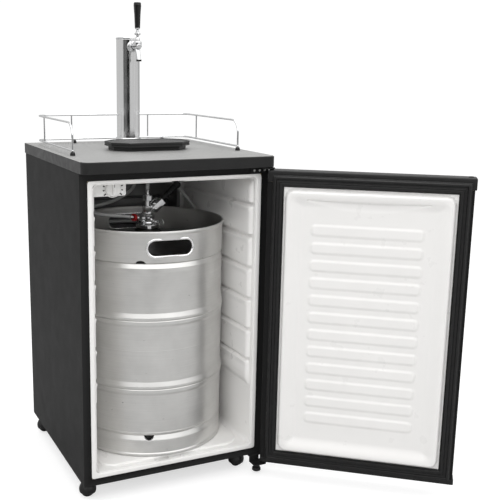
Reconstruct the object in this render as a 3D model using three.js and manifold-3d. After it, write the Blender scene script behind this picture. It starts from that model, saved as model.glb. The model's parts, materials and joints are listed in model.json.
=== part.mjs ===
// A single-tap kegerator: an insulated cabinet on casters with its door open, a half-barrel keg and
// coupler inside, and a draft tower, guard rail and drip tray on the worktop.
// Millimetres, +Z up, +X to the right of the cabinet's front, +Y towards its back.
// The cabinet is drawn with its front face on Y = 0 and the floor on Z = 0. At the end the whole model is
// moved so that its bounding box is centred on the Z axis.
import * as THREE from 'three';
import { mergeVertices } from 'three/addons/utils/BufferGeometryUtils.js';
import Module from 'manifold-3d';

const wasm = await Module();
wasm.setup();

// ---- Driving dimensions ----
const GAP = 0.3; // clearance between pieces that touch
const SHEET = 1.5; // steel sheet of the cabinet and door
const HALF_WIDTH = 250; // cabinet body
const DEPTH = 516;
const BODY_BOTTOM = 48;
const BODY_TOP = 834;
const FRAME_DEPTH = 4; // black frame round the opening
const LINER = 2.5; // moulded liner wall
const ROOM_HALF_WIDTH = 217; // inside of the liner
const ROOM_FLOOR = 78;
const ROOM_TOP = 806;
const ROOM_BACK = 470;
const HUMP_FRONT = 424; // step in the liner over the compressor
const HUMP_TOP = 233;
const BAY_FRONT = 436; // compressor bay, open at the back
const BAY_TOP = 208;
const FLANGE_HALF_WIDTH = 230; // liner flange seen round the opening
const FLANGE_BOTTOM = 66;
const FLANGE_TOP = 814.5;
const PLATFORM_TOP = 85; // moulded floor platform that the keg stands on

const TOP_HALF_WIDTH = 252; // worktop
const TOP_UNDERSIDE = BODY_TOP + GAP;
const TOP_SURFACE = 862;
const TOP_FRONT = -36;
const TOP_CORNER = 19;
const TRIM = 3;
const TRIM_END = -17;

const HINGE_X = 244; // vertical axis of the door
const HINGE_Y = -24;
const DOOR_OPEN_DEG = 141; // door angle in the pose drawn
const DOOR_LEFT = -252;
const DOOR_RIGHT = 251;
const DOOR_OUTER = -56;
const DOOR_INNER = -12;
const DOOR_BOTTOM = 37;
const DOOR_TOP = 827;
const CAP_TOP_HEIGHT = 29;
const CAP_BOTTOM_HEIGHT = 14;
const DOOR_CORNER = 12;
const PIN_RADIUS = 4;

const KEG_X = 3;
const KEG_Y = 215;
const KEG_HEIGHT = 596;
const KEG_TURN_DEG = -4.3;

const TOWER_X = 12; // draft tower, faucet and tray share this centre line
const TOWER_Y = 385;
const TOWER_RADIUS = 32;
const TOWER_TOP = 1150;
const BEER_LINE_TOP = 1075; // where the beer line meets the shank's elbow
const LINE_HOLE = 22; // hole from the cabinet up into the tower
const FAUCET_Y = 310;
const FAUCET_Z = 1130;
const LEVER_Z = 1147;

const TRAY_Y = 238;
const CASTER_X = 213;
const CASTER_FRONT = 45;
const CASTER_BACK = 475;
const WHEEL_RADIUS = 18;

// ---- Materials ----
const material = (color, roughness, metalness) =>
  new THREE.MeshStandardMaterial({ color, roughness, metalness });
const BLACK_STEEL = material(0x2f2f30, 0.55, 0.2);
const BLACK_PLASTIC = material(0x1b1b1c, 0.5, 0);
const GREY_TOP = material(0xa3a3a1, 0.45, 0.1);
const WHITE_LINER = material(0xeeebe6, 0.4, 0);
const WHITE_PLASTIC = material(0xf1f0ec, 0.4, 0);
const FOAM = material(0xd9c48f, 0.9, 0);
const RUBBER = material(0x151515, 0.8, 0);
const CHROME = material(0xd8d9da, 0.12, 1);
const KEG_STEEL = material(0xb9bab8, 0.38, 1);
const ALUMINIUM = material(0x8c8e90, 0.5, 0.8);
const ZINC = material(0x9a9c9e, 0.4, 0.9);
const RED_PLASTIC = material(0xb01e22, 0.4, 0);
const CLEAR_HOSE = material(0xb9bbb8, 0.3, 0);
const GREY_HOSE = material(0x9b9d9c, 0.4, 0);

// ---- Solids ----
// A closed geometry as a solid that can be cut and joined, with its faces pointing out.
function toSolid(geometry) {
  const bare = geometry.clone();
  for (const name of Object.keys(bare.attributes)) {
    if (name !== 'position') bare.deleteAttribute(name);
  }
  const merged = mergeVertices(bare, 1e-4);
  const at = merged.attributes.position.array;
  const index = merged.index.array;
  const triangles = [];
  let volume = 0;
  for (let i = 0; i < index.length; i += 3) {
    const [a, b, c] = index.slice(i, i + 3);
    if (a === b || b === c || c === a) continue;
    triangles.push(a, b, c);
    const [p, q, r] = [a, b, c].map((v) => new THREE.Vector3().fromArray(at, 3 * v));
    volume += p.dot(q.cross(r));
  }
  if (volume < 0) triangles.reverse();
  const vertProperties = new Float32Array(at);
  const triVerts = new Uint32Array(triangles);
  return new wasm.Manifold(new wasm.Mesh({ numProp: 3, vertProperties, triVerts }));
}

function toGeometry(manifold) {
  const { vertProperties, triVerts } = manifold.getMesh();
  const geometry = new THREE.BufferGeometry();
  geometry.setAttribute('position', new THREE.BufferAttribute(vertProperties, 3));
  geometry.setIndex(new THREE.BufferAttribute(triVerts, 1));
  return geometry;
}

const join = (first, ...rest) =>
  toGeometry(rest.reduce((sum, geometry) => sum.add(toSolid(geometry)), toSolid(first)));
const cut = (first, ...rest) =>
  toGeometry(rest.reduce((left, geometry) => left.subtract(toSolid(geometry)), toSolid(first)));

// ---- Basic shapes ----
function block(x0, x1, y0, y1, z0, z1) {
  const box = new THREE.BoxGeometry(x1 - x0, y1 - y0, z1 - z0);
  return box.translate((x0 + x1) / 2, (y0 + y1) / 2, (z0 + z1) / 2);
}

const outline = (points) => new THREE.Shape(points.map(([x, y]) => new THREE.Vector2(x, y)));

// A rectangle with one radius on its low-y corners and another on its high-y corners.
function roundedRect(x0, x1, y0, y1, low, high = low) {
  const shape = new THREE.Shape();
  shape.absarc(x0 + low, y0 + low, low, Math.PI, 1.5 * Math.PI);
  shape.absarc(x1 - low, y0 + low, low, 1.5 * Math.PI, 2 * Math.PI);
  shape.absarc(x1 - high, y1 - high, high, 0, 0.5 * Math.PI);
  shape.absarc(x0 + high, y1 - high, high, 0.5 * Math.PI, Math.PI);
  shape.closePath();
  return shape;
}

const extrude = (shape, depth, curveSegments = 4) =>
  new THREE.ExtrudeGeometry(shape, { depth, curveSegments, bevelEnabled: false });

// A shape in plan (x, y), standing from z0 to z1.
const plate = (shape, z0, z1, segments) => extrude(shape, z1 - z0, segments).translate(0, 0, z0);

// A shape in elevation (x, z), reaching from y0 to y1.
const panel = (shape, y0, y1, segments) =>
  extrude(shape, y1 - y0, segments).rotateX(Math.PI / 2).translate(0, y1, 0);

// A shape in side view (y, z), reaching from x0 to x1.
function sideProfile(shape, x0, x1, segments) {
  const turn = new THREE.Matrix4().makeBasis(
    new THREE.Vector3(0, 1, 0),
    new THREE.Vector3(0, 0, 1),
    new THREE.Vector3(1, 0, 0),
  );
  return extrude(shape, x1 - x0, segments).applyMatrix4(turn).translate(x0, 0, 0);
}

// A profile of [radius, height] turned about Z.
function turned(profile, sides = 20) {
  const points = profile.map(([radius, z]) => new THREE.Vector2(radius, z));
  return new THREE.LatheGeometry(points, sides).rotateX(Math.PI / 2);
}

// A rod along Z from z0 to z1.
const rod = (radius, z0, z1, sides = 12) =>
  new THREE.CylinderGeometry(radius, radius, z1 - z0, sides)
    .rotateX(Math.PI / 2)
    .translate(0, 0, (z0 + z1) / 2);

// The radius of a polygonal hole that a shaft of the given radius turns in freely.
const boreRadius = (shaft, sides) => (shaft + 0.06) / Math.cos(Math.PI / sides);

const alongX = (geometry) => geometry.rotateY(Math.PI / 2);
const alongY = (geometry) => geometry.rotateX(-Math.PI / 2);

// A route that passes through each of its points, for sweeping wires and hoses.
class Route extends THREE.Curve {
  constructor(points) {
    super();
    this.points = points;
  }

  getPoint(t, target = new THREE.Vector3()) {
    const last = this.points.length - 1;
    const start = Math.min(Math.floor(t * last), last - 1);
    return target.copy(this.points[start]).lerp(this.points[start + 1], t * last - start);
  }

  getPointAt(u, target) {
    return this.getPoint(u, target);
  }

  getTangentAt(u, target = new THREE.Vector3()) {
    const last = this.points.length - 1;
    const here = Math.round(u * last);
    const before = this.points[Math.max(here - 1, 0)];
    const after = this.points[Math.min(here + 1, last)];
    const into = this.points[here].clone().sub(before).normalize();
    const out = after.clone().sub(this.points[here]).normalize();
    return target.copy(into.add(out)).normalize();
  }
}

function sweep(points, radius, sides) {
  const ring = Array.from({ length: sides }, (_, i) => {
    const angle = (2 * Math.PI * (i + 0.5)) / sides;
    return [radius * Math.cos(angle), radius * Math.sin(angle)];
  });
  const settings = { steps: points.length - 1, extrudePath: new Route(points), bevelEnabled: false };
  return new THREE.ExtrudeGeometry(outline(ring), settings);
}

// A wire through corners [x, y, z], each inner corner bent to the given radius.
function bentWire(corners, bend, radius, sides = 6, arcSteps = 3) {
  const at = corners.map((corner) => new THREE.Vector3(...corner));
  const points = [at[0]];
  for (let i = 1; i < at.length - 1; i += 1) {
    const back = at[i - 1].clone().sub(at[i]).normalize();
    const ahead = at[i + 1].clone().sub(at[i]).normalize();
    const half = back.angleTo(ahead) / 2;
    const reach = bend / Math.tan(half);
    const centre = back.clone().add(ahead).normalize().multiplyScalar(bend / Math.sin(half)).add(at[i]);
    const from = at[i].clone().addScaledVector(back, reach).sub(centre);
    const to = at[i].clone().addScaledVector(ahead, reach).sub(centre);
    const axis = from.clone().cross(to).normalize();
    const turn = from.angleTo(to);
    for (let step = 0; step <= arcSteps; step += 1) {
      points.push(from.clone().applyAxisAngle(axis, (turn * step) / arcSteps).add(centre));
    }
  }
  points.push(at[at.length - 1]);
  return sweep(points, radius, sides);
}

// A hose through hand-placed points, on one smooth curve with square-cut ends.
function hose(route, radius, steps) {
  const curve = new THREE.CatmullRomCurve3(route.map((point) => new THREE.Vector3(...point)));
  const points = curve.getSpacedPoints(steps);
  const [start, end] = [curve.getPointAt(0.002), curve.getPointAt(0.998)];
  return sweep([points[0], start, ...points.slice(1, -1), end, points[steps]], radius, 8);
}

function named(name, geometry, look) {
  const mesh = new THREE.Mesh(geometry, look);
  mesh.name = name;
  return mesh;
}

// ---- Cabinet ----
// Steel wrapper: left side, top and right side bent from one sheet.
function cabinetShell() {
  const start = FRAME_DEPTH + GAP;
  const outside = block(-HALF_WIDTH, HALF_WIDTH, start, DEPTH, BODY_BOTTOM, BODY_TOP);
  const inside = block(
    SHEET - HALF_WIDTH, HALF_WIDTH - SHEET, start - 1, DEPTH + 1, BODY_BOTTOM - 1, BODY_TOP - SHEET,
  );
  const lineHole = rod(LINE_HOLE, BODY_TOP - 5, BODY_TOP + 5).translate(TOWER_X, TOWER_Y, 0);
  return cut(outside, inside, lineHole);
}

function frontFrame() {
  const outside = block(-HALF_WIDTH, HALF_WIDTH, 0, FRAME_DEPTH, BODY_BOTTOM, BODY_TOP);
  const edge = FLANGE_HALF_WIDTH + GAP;
  return cut(outside, block(-edge, edge, -1, FRAME_DEPTH + 1, FLANGE_BOTTOM - GAP, FLANGE_TOP + GAP));
}

// Bottom sheet that steps up over the compressor bay, with the compressor's shelf at the floor.
function basePlate() {
  const start = FRAME_DEPTH + GAP;
  const inner = BODY_BOTTOM + SHEET;
  const step = outline([
    [start, BODY_BOTTOM],
    [DEPTH, BODY_BOTTOM],
    [DEPTH, inner],
    [BAY_FRONT + SHEET, inner],
    [BAY_FRONT + SHEET, BAY_TOP - SHEET],
    [DEPTH, BAY_TOP - SHEET],
    [DEPTH, BAY_TOP],
    [BAY_FRONT, BAY_TOP],
    [BAY_FRONT, inner],
    [start, inner],
  ]);
  const reach = HALF_WIDTH - SHEET - GAP;
  return sideProfile(step, -reach, reach);
}

function backPanel() {
  const reach = HALF_WIDTH - SHEET - GAP;
  const sheet = block(-reach, reach, DEPTH - SHEET, DEPTH, BAY_TOP + GAP, BODY_TOP - SHEET - GAP);
  return cut(sheet, gasPortHole(), mainsHole());
}

// The room inside the liner, grown by a margin, with the step over the compressor left out.
function roomSpace(margin, front) {
  const half = ROOM_HALF_WIDTH + margin;
  const back = ROOM_BACK + margin;
  const room = block(-half, half, front, back, ROOM_FLOOR - margin, ROOM_TOP + margin);
  const hump = block(
    -half - 1, half + 1, HUMP_FRONT + margin, back + 1, ROOM_FLOOR - margin - 1, HUMP_TOP - margin,
  );
  return cut(room, hump);
}

function insulationFoam() {
  const reach = HALF_WIDTH - SHEET - GAP;
  const front = FRAME_DEPTH + GAP;
  const whole = block(
    -reach, reach, front, DEPTH - SHEET - GAP, BODY_BOTTOM + SHEET + GAP, BODY_TOP - SHEET - GAP,
  );
  const bay = block(-reach - 1, reach + 1, BAY_FRONT - GAP, DEPTH, BODY_BOTTOM, BAY_TOP + GAP);
  const room = roomSpace(LINER + GAP, front - 1);
  const lineHole = rod(LINE_HOLE, ROOM_TOP - 5, BODY_TOP).translate(TOWER_X, TOWER_Y, 0);
  return cut(whole, bay, room, lineHole, gasPortHole(), mainsHole());
}

const LEDGE_HEIGHTS = Array.from({ length: 6 }, (_, i) => 317 + 83.6 * i);

// Shelf ledge moulded into a side wall; side is 1 for the right wall and -1 for the left.
function ledge(side, z) {
  const wall = side * (ROOM_HALF_WIDTH + 1);
  const nose = side * (ROOM_HALF_WIDTH - 7);
  return panel(outline([[wall, z - 9], [nose, z - 2], [nose, z + 3], [wall, z + 6]]), 14, 440);
}

function innerLiner() {
  const shell = cut(roomSpace(LINER, 0), roomSpace(0, -1));
  const flange = cut(
    panel(roundedRect(-FLANGE_HALF_WIDTH, FLANGE_HALF_WIDTH, FLANGE_BOTTOM, FLANGE_TOP, 6), 0, LINER, 2),
    block(-ROOM_HALF_WIDTH, ROOM_HALF_WIDTH, -1, LINER + 1, ROOM_FLOOR, ROOM_TOP),
  );
  const platform = plate(
    roundedRect(-196, 199, 20, HUMP_FRONT + 1, 45, 2), ROOM_FLOOR - 1, PLATFORM_TOP - GAP, 4,
  );
  const ledges = LEDGE_HEIGHTS.flatMap((z) => [ledge(-1, z), ledge(1, z)]);
  const lineHole = rod(LINE_HOLE, ROOM_TOP - 5, ROOM_TOP + 5).translate(TOWER_X, TOWER_Y, 0);
  return cut(join(shell, flange, platform, ...ledges), lineHole, gasPortHole());
}

// Aluminium cold plate standing off the back wall, with its refrigerant channel pressed in.
function evaporatorPlate() {
  const front = ROOM_BACK - 8;
  const sheet = block(-195, 195, front, front + 2, 270, 735);
  const passes = Array.from({ length: 6 }, (_, i) => 310 + 77 * i);
  const channels = passes.map((z) => block(-175, 175, front - 3, front + 1, z, z + 8));
  const ends = passes.slice(1).map((z, i) => {
    const x = i % 2 ? -175 : 167;
    return block(x, x + 8, front - 3, front + 1, z - 77, z + 8);
  });
  const posts = [-170, 170].flatMap((x) => [300, 700].map((z) =>
    block(x - 5, x + 5, front + 1, ROOM_BACK - GAP, z - 5, z + 5)));
  return join(sheet, ...channels, ...ends, ...posts);
}

// ---- Worktop ----
function worktop() {
  const inner = TRIM + GAP;
  const broad = block(
    -TOP_HALF_WIDTH, TOP_HALF_WIDTH, TRIM_END + GAP, DEPTH + 2, TOP_UNDERSIDE, TOP_SURFACE,
  );
  const nose = plate(
    roundedRect(inner - TOP_HALF_WIDTH, TOP_HALF_WIDTH - inner, TOP_FRONT + inner, 0, TOP_CORNER - inner, 1),
    TOP_UNDERSIDE, TOP_SURFACE, 6,
  );
  const lineHole = rod(LINE_HOLE, BODY_TOP - 5, TOP_SURFACE + 5).translate(TOWER_X, TOWER_Y, 0);
  return cut(join(broad, nose), lineHole);
}

function worktopFrontTrim() {
  const band = (inset) => roundedRect(
    inset - TOP_HALF_WIDTH, TOP_HALF_WIDTH - inset, TOP_FRONT + inset, 20, TOP_CORNER - inset, 1,
  );
  return cut(
    plate(band(0), TOP_UNDERSIDE, TOP_SURFACE, 6),
    plate(band(TRIM), TOP_UNDERSIDE - 1, TOP_SURFACE + 1, 6),
    block(-300, 300, TRIM_END, 30, TOP_UNDERSIDE - 1, TOP_SURFACE + 1),
  );
}

// ---- Thermostat ----
const DIAL_X = -148;
const DIAL_Z = 787;
const THERMOSTAT_FRONT = 58;

function thermostatHousing() {
  const box = panel(roundedRect(-199, -114, 768, ROOM_TOP - GAP, 4), THERMOSTAT_FRONT, 140);
  const spindleHole = alongY(rod(boreRadius(3, 16), 0, 12, 16)).translate(DIAL_X, THERMOSTAT_FRONT - 1, DIAL_Z);
  return cut(box, spindleHole);
}

function thermostatKnob() {
  const face = THERMOSTAT_FRONT - GAP;
  const disc = alongY(turned([[0, 0], [17, 0], [19, 2], [19, 7], [0, 7]], 24)).translate(0, face - 7, 0);
  const bar = block(-4, 4, face - 13, face - 6, -15, 15);
  const spindle = alongY(rod(3, 0, 9, 16)).translate(0, face - 1, 0);
  return join(disc, bar, spindle).translate(DIAL_X, 0, DIAL_Z);
}

// ---- Cooling unit and services on the back ----
function compressor() {
  const can = turned([[0, 8], [46, 8], [56, 22], [56, 84], [48, 108], [26, 122], [0, 126]], 24);
  const feet = block(-72, 72, -40, 30, 0, 3);
  const posts = [-30, 30].map((x) => block(x - 8, x + 8, -25, 15, 2, 20));
  const terminals = block(50, 82, -22, 22, 40, 86);
  return join(can, feet, ...posts, terminals).translate(70, 498, BODY_BOTTOM + SHEET + GAP);
}

// Serpentine tube with vertical wires welded on, on four stand-offs from the back panel.
const COIL_PASSES = 5;
const COIL_PITCH = 120;
const COIL_BOTTOM = 262;

function condenserCoil() {
  const y = DEPTH + 16;
  const corners = [];
  for (let i = 0; i < COIL_PASSES; i += 1) {
    const z = COIL_BOTTOM + COIL_PITCH * i;
    const side = i % 2 ? 1 : -1;
    corners.push([205 * side, y, z], [-205 * side, y, z]);
  }
  const tube = bentWire(corners, 12, 3, 5, 2);
  const wires = [-130, 0, 130].map((x) => block(x - 1.2, x + 1.2, y - 1.2, y + 4, 250, 755));
  const stands = [-180, 180].flatMap((x) => [COIL_BOTTOM, COIL_BOTTOM + 3 * COIL_PITCH].map((z) =>
    block(x - 6, x + 6, DEPTH + GAP, y, z - 5, z + 5)));
  return join(tube, ...wires, ...stands);
}

const GAS_PORT = [-206, 770];
const PORT_RADIUS = 7;
const gasPortHole = () =>
  alongY(rod(PORT_RADIUS + GAP, 0, 100)).translate(GAS_PORT[0], ROOM_BACK - 20, GAS_PORT[1]);

// Fitting through the back wall: a barb and flange inside, a nut and barb outside.
function gasBulkhead() {
  const inside = ROOM_BACK - GAP;
  const outside = DEPTH + GAP;
  return alongY(turned([
    [0, inside - 22], [4, inside - 22], [5, inside - 18], [4, inside - 14], [4, inside - 4],
    [9.5, inside - 4], [9.5, inside], [PORT_RADIUS, inside], [PORT_RADIUS, outside], [11, outside],
    [11, outside + 7], [5, outside + 7], [5, outside + 12], [6, outside + 14], [4.5, outside + 22],
    [0, outside + 22],
  ], 10)).translate(GAS_PORT[0], 0, GAS_PORT[1]);
}

const MAINS = [-190, 228];
const mainsHole = () => alongY(rod(8 + GAP, 0, 20)).translate(MAINS[0], DEPTH - 12, MAINS[1]);

// Gland that the mains lead would leave through, with its empty bore.
function mainsInlet() {
  const inside = DEPTH - 8;
  return alongY(turned([
    [4, inside], [8, inside], [8, DEPTH + GAP], [13, DEPTH + GAP], [13, DEPTH + 4],
    [8, DEPTH + 14], [4, DEPTH + 14], [4, inside],
  ], 12)).translate(MAINS[0], 0, MAINS[1]);
}

// ---- Hinges ----
function topHingeBracket() {
  const top = TOP_UNDERSIDE - 1.5;
  const arm = plate(roundedRect(HINGE_X - 30, HALF_WIDTH, HINGE_Y - 12, -GAP, 6, 1), top - 3, top);
  const flange = block(HINGE_X - 46, HINGE_X - 1, -3.3, -GAP, 817.5, top);
  const pin = rod(PIN_RADIUS, 806, top - 1, 16).translate(HINGE_X, HINGE_Y, 0);
  const washer = rod(7, DOOR_TOP + GAP, top - 1).translate(HINGE_X, HINGE_Y, 0);
  return join(arm, flange, pin, washer);
}

const BRACKET_BOTTOM = 30.5;

function bottomHingeBracket() {
  const under = block(212, 248, -5, 24, BODY_BOTTOM - GAP - 3, BODY_BOTTOM - GAP);
  const web = block(212, HINGE_X - 4, -8, -5, BRACKET_BOTTOM, BODY_BOTTOM - GAP);
  const arm = plate(roundedRect(212, 251, HINGE_Y - 12, -5, 8, 1), BRACKET_BOTTOM, BRACKET_BOTTOM + 3.5);
  const pin = rod(PIN_RADIUS, 32, 47, 16).translate(HINGE_X, HINGE_Y, 0);
  const washer = rod(7, 33, DOOR_BOTTOM - GAP).translate(HINGE_X, HINGE_Y, 0);
  return join(under, web, arm, pin, washer);
}

const FOOT_PLACE = [228, -18];

// Screw foot under the hinge bracket, wound up clear of the floor.
function levellingFoot() {
  const top = BRACKET_BOTTOM - GAP;
  return turned([
    [0, 9], [10, 9], [12, 11], [11.5, 17], [6, 21], [9, 22], [9, 28], [5, 28], [5, top], [0, top],
  ], 12).translate(FOOT_PLACE[0], FOOT_PLACE[1], 0);
}

// ---- Casters ----
const WHEEL_OFFSET = 15; // trail of the wheel behind the swivel axis

// Hooded fork, drawn about its swivel axis with the wheel trailing towards -X.
function casterFork() {
  const top = BODY_BOTTOM - GAP;
  const plateDisc = rod(16, 42, top, 12);
  const hood = new THREE.SphereGeometry(22, 10, 6).rotateX(Math.PI / 2).translate(-WHEEL_OFFSET, 0, 21);
  const neck = block(-14, 8, -8, 8, 36, 44);
  const below = block(-60, 30, -40, 40, -20, 13);
  const wheelSpace = alongY(rod(WHEEL_RADIUS + 1.7, -8, 8, 12)).translate(-WHEEL_OFFSET, 0, WHEEL_RADIUS);
  const drop = block(-WHEEL_OFFSET - 19.5, -WHEEL_OFFSET + 19.5, -8, 8, -5, WHEEL_RADIUS);
  const axleHole = alongY(rod(boreRadius(3, 12), -40, 40)).translate(-WHEEL_OFFSET, 0, WHEEL_RADIUS);
  return cut(join(plateDisc, hood, neck), below, wheelSpace, drop, axleHole);
}

function casterWheel() {
  const tread = alongY(turned([
    [0, -7], [WHEEL_RADIUS - 2, -7], [WHEEL_RADIUS, -5], [WHEEL_RADIUS, 5], [WHEEL_RADIUS - 2, 7], [0, 7],
  ], 20));
  const axle = alongY(rod(3, -17, 17, 10));
  return join(tread, axle).translate(-WHEEL_OFFSET, 0, WHEEL_RADIUS);
}

function casters() {
  const set = new THREE.Group();
  for (const [side, x] of [['left', -CASTER_X], ['right', CASTER_X]]) {
    for (const [end, y] of [['front', CASTER_FRONT], ['back', CASTER_BACK]]) {
      const caster = new THREE.Group();
      caster.position.set(x, y, 0);
      caster.add(named(`caster_fork_${end}_${side}`, casterFork(), BLACK_PLASTIC));
      caster.add(named(`caster_wheel_${end}_${side}`, casterWheel(), RUBBER));
      set.add(caster);
    }
  }
  return set;
}

// ---- Guard rail ----
const RAIL_X = 226;
const RAIL_BACK = 472;
const RAIL_FRONT = 128;
const RAIL_TOP = 941;
const RAIL_LOW = 874;
const WIRE = 2.5;
const RAIL_FEET = [[-RAIL_X, RAIL_FRONT], [RAIL_X, RAIL_FRONT], [-120, RAIL_BACK], [150, RAIL_BACK]];

function guardRail() {
  const hoop = bentWire([
    [-RAIL_X, RAIL_FRONT, RAIL_LOW - 4], [-RAIL_X, RAIL_FRONT, RAIL_TOP], [-RAIL_X, RAIL_BACK, RAIL_TOP],
    [RAIL_X, RAIL_BACK, RAIL_TOP], [RAIL_X, RAIL_FRONT, RAIL_TOP], [RAIL_X, RAIL_FRONT, RAIL_LOW - 4],
  ], 34, WIRE);
  const lower = bentWire([
    [-RAIL_X, RAIL_FRONT, RAIL_LOW], [-RAIL_X, RAIL_BACK, RAIL_LOW],
    [RAIL_X, RAIL_BACK, RAIL_LOW], [RAIL_X, RAIL_FRONT, RAIL_LOW],
  ], 30, WIRE);
  const posts = [[-RAIL_X, 393], [RAIL_X, 393], [-127, RAIL_BACK], [104, RAIL_BACK]].map(([x, y]) =>
    rod(WIRE - 0.4, RAIL_LOW, RAIL_TOP, 5).translate(x, y, 0));
  const pegs = RAIL_FEET.map(([x, y]) => rod(WIRE, RAIL_LOW - 8, RAIL_LOW, 6).translate(x, y, 0));
  return join(hoop, lower, ...posts, ...pegs);
}

function railFoot() {
  const bottom = TOP_SURFACE + GAP;
  const socket = RAIL_LOW - 8 - GAP;
  return turned([
    [0, bottom], [6.5, bottom], [5.5, RAIL_LOW - 3.4], [3, RAIL_LOW - 3.4], [3, socket], [0, socket],
  ], 10);
}

// ---- Draft tower ----
function towerColumn() {
  const bottom = TOP_SURFACE + GAP;
  const bore = TOWER_RADIUS - 2;
  const tube = turned([[bore, bottom], [TOWER_RADIUS, bottom], [TOWER_RADIUS, TOWER_TOP], [bore, TOWER_TOP],
    [bore, bottom]], 28);
  const shankHole = alongY(rod(9.5, -60, 0)).translate(0, 0, FAUCET_Z);
  return cut(tube, shankHole).translate(TOWER_X, TOWER_Y, 0);
}

function towerFlange() {
  const bottom = TOP_SURFACE + GAP;
  const bore = TOWER_RADIUS + GAP;
  return turned([[bore, bottom], [43, bottom], [43, bottom + 4], [36, bottom + 8],
    [34, bottom + 20], [bore, bottom + 20], [bore, bottom]], 24).translate(TOWER_X, TOWER_Y, 0);
}

function towerCap() {
  const bore = TOWER_RADIUS - 2 - GAP;
  const seat = TOWER_TOP + GAP;
  return turned([[0, seat - 5], [bore, seat - 5], [bore, seat], [TOWER_RADIUS + 1, seat],
    [TOWER_RADIUS + 1, seat + 3], [TOWER_RADIUS - 1, seat + 5], [0, seat + 5.6]], 24)
    .translate(TOWER_X, TOWER_Y, 0);
}

// ---- Faucet, drawn with its axis on Y = 0, Z = 0 and pointing to -Y ----
const TOWER_FACE = TOWER_Y - TOWER_RADIUS - FAUCET_Y; // front of the tower from the faucet's own origin

// Threaded shank through the tower wall, with its nut and an elbow that turns down to the beer line.
function shank() {
  const elbowY = TOWER_Y - FAUCET_Y;
  const tail = elbowY + 4;
  const through = alongY(turned([
    [0, TOWER_FACE - 8], [9, TOWER_FACE - 8], [9, TOWER_FACE - 5], [15, TOWER_FACE - 5],
    [15, TOWER_FACE - 1.2], [9, TOWER_FACE - 1.2], [9, TOWER_FACE + 12], [13, TOWER_FACE + 12],
    [13, TOWER_FACE + 18], [5, TOWER_FACE + 18], [5, tail], [0, tail],
  ], 12));
  const elbow = rod(5, BEER_LINE_TOP + GAP - FAUCET_Z, 0).translate(0, elbowY, 0);
  return join(through, elbow);
}

function faucetCollar() {
  const back = TOWER_FACE - 5 - GAP;
  const front = TOWER_FACE - 24;
  const ring = alongY(turned([
    [9.2 + GAP, front], [13, front], [14.5, front + 2], [14.5, back], [9.2 + GAP, back],
    [9.2 + GAP, front],
  ], 16));
  const notches = [0, 1, 2].map((i) =>
    block(-2, 2, front + 5, front + 13, 12, 18).rotateY((i * 2 * Math.PI) / 3 + 0.5));
  return cut(ring, ...notches);
}

const PLUNGER_BORE = 3.2;

function faucetBody() {
  const back = TOWER_FACE - 8 - GAP;
  const barrel = alongY(turned([
    [0, -14], [6, -14], [7, -12], [7, -8], [9, -6], [9, back], [0, back],
  ], 12));
  const bonnet = turned([[0, -2], [10, -2], [11, 0], [11, 10], [9.5, 14], [0, 14]], 16);
  const spout = sweep([
    new THREE.Vector3(0, 4, -2), new THREE.Vector3(0, -1, -12), new THREE.Vector3(0, -6, -22),
    new THREE.Vector3(0, -9, -31), new THREE.Vector3(0, -10, -39),
  ], 6.6, 10);
  const socket = rod(7.2, 2, 20);
  const bore = alongY(rod(PLUNGER_BORE + 0.4, -6, back + 1));
  const outlet = rod(4.6, -45, -30, 8).translate(0, -9.8, 0);
  return cut(join(barrel, bonnet, spout), socket, bore, outlet);
}

function faucetPlunger() {
  return alongY(turned([
    [0, -4], [2, -4], [PLUNGER_BORE, -2], [PLUNGER_BORE, 14], [0, 14],
  ], 10));
}

// Lever with its ball in the body's socket and a finger reaching down to the plunger.
function faucetLever() {
  return turned([
    [0, -11], [1.8, -11], [1.8, -6.3], [4, -5.4], [6.6, 0], [5, 4.6], [3.4, 7], [3.4, 12], [8, 13], [8, 18], [4.4, 21],
    [3.6, 24], [3.6, 33], [0, 33],
  ], 12);
}

function tapHandle() {
  const bottom = 29;
  const top = 97;
  return turned([
    [3.6 + GAP, bottom], [6.6, bottom], [7.4, bottom + 3], [8.6, bottom + 34], [10.2, top - 6],
    [9, top - 1], [0, top], [0, 33 + GAP], [3.6 + GAP, 33 + GAP], [3.6 + GAP, bottom],
  ], 14);
}

function faucet() {
  const set = new THREE.Group();
  set.position.set(TOWER_X, FAUCET_Y, FAUCET_Z);
  set.add(named('shank', shank(), CHROME));
  set.add(named('faucet_collar', faucetCollar(), CHROME));
  set.add(named('faucet_body', faucetBody(), CHROME));
  set.add(named('faucet_plunger', faucetPlunger(), CHROME));
  const lever = new THREE.Group();
  lever.position.z = LEVER_Z - FAUCET_Z;
  lever.add(named('faucet_lever', faucetLever(), CHROME));
  lever.add(named('tap_handle', tapHandle(), BLACK_PLASTIC));
  set.add(lever);
  return set;
}

// ---- Drip tray ----
const TRAY_HALF_LENGTH = 111;
const TRAY_HALF_DEPTH = 66;
const TRAY_HEIGHT = 22;
const TRAY_CORNER = 38;
const BRIM_BOTTOM = 10;
const GRID_SEAT = TRAY_HEIGHT - 5;

function dripTray() {
  const outlineInset = (inset, corner) =>
    chamferedRect(TRAY_HALF_LENGTH - inset, TRAY_HALF_DEPTH - inset, TRAY_CORNER - corner);
  const pan = plate(outlineInset(9, 5), 0, BRIM_BOTTOM);
  const brim = plate(outlineInset(0, 0), BRIM_BOTTOM, TRAY_HEIGHT);
  const well = plate(outlineInset(12, 7), 3, TRAY_HEIGHT + 1);
  const ledgeCut = plate(outlineInset(5, 3), GRID_SEAT, TRAY_HEIGHT + 1);
  return cut(join(pan, brim), well, ledgeCut).translate(TOWER_X, TRAY_Y, TOP_SURFACE + GAP);
}

function chamferedRect(halfLength, halfDepth, corner) {
  const [l, d] = [halfLength, halfDepth];
  return outline([
    [-l, corner - d], [corner - l, -d], [l - corner, -d], [l, corner - d],
    [l, d - corner], [l - corner, d], [corner - l, d], [-l, d - corner],
  ]);
}

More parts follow.
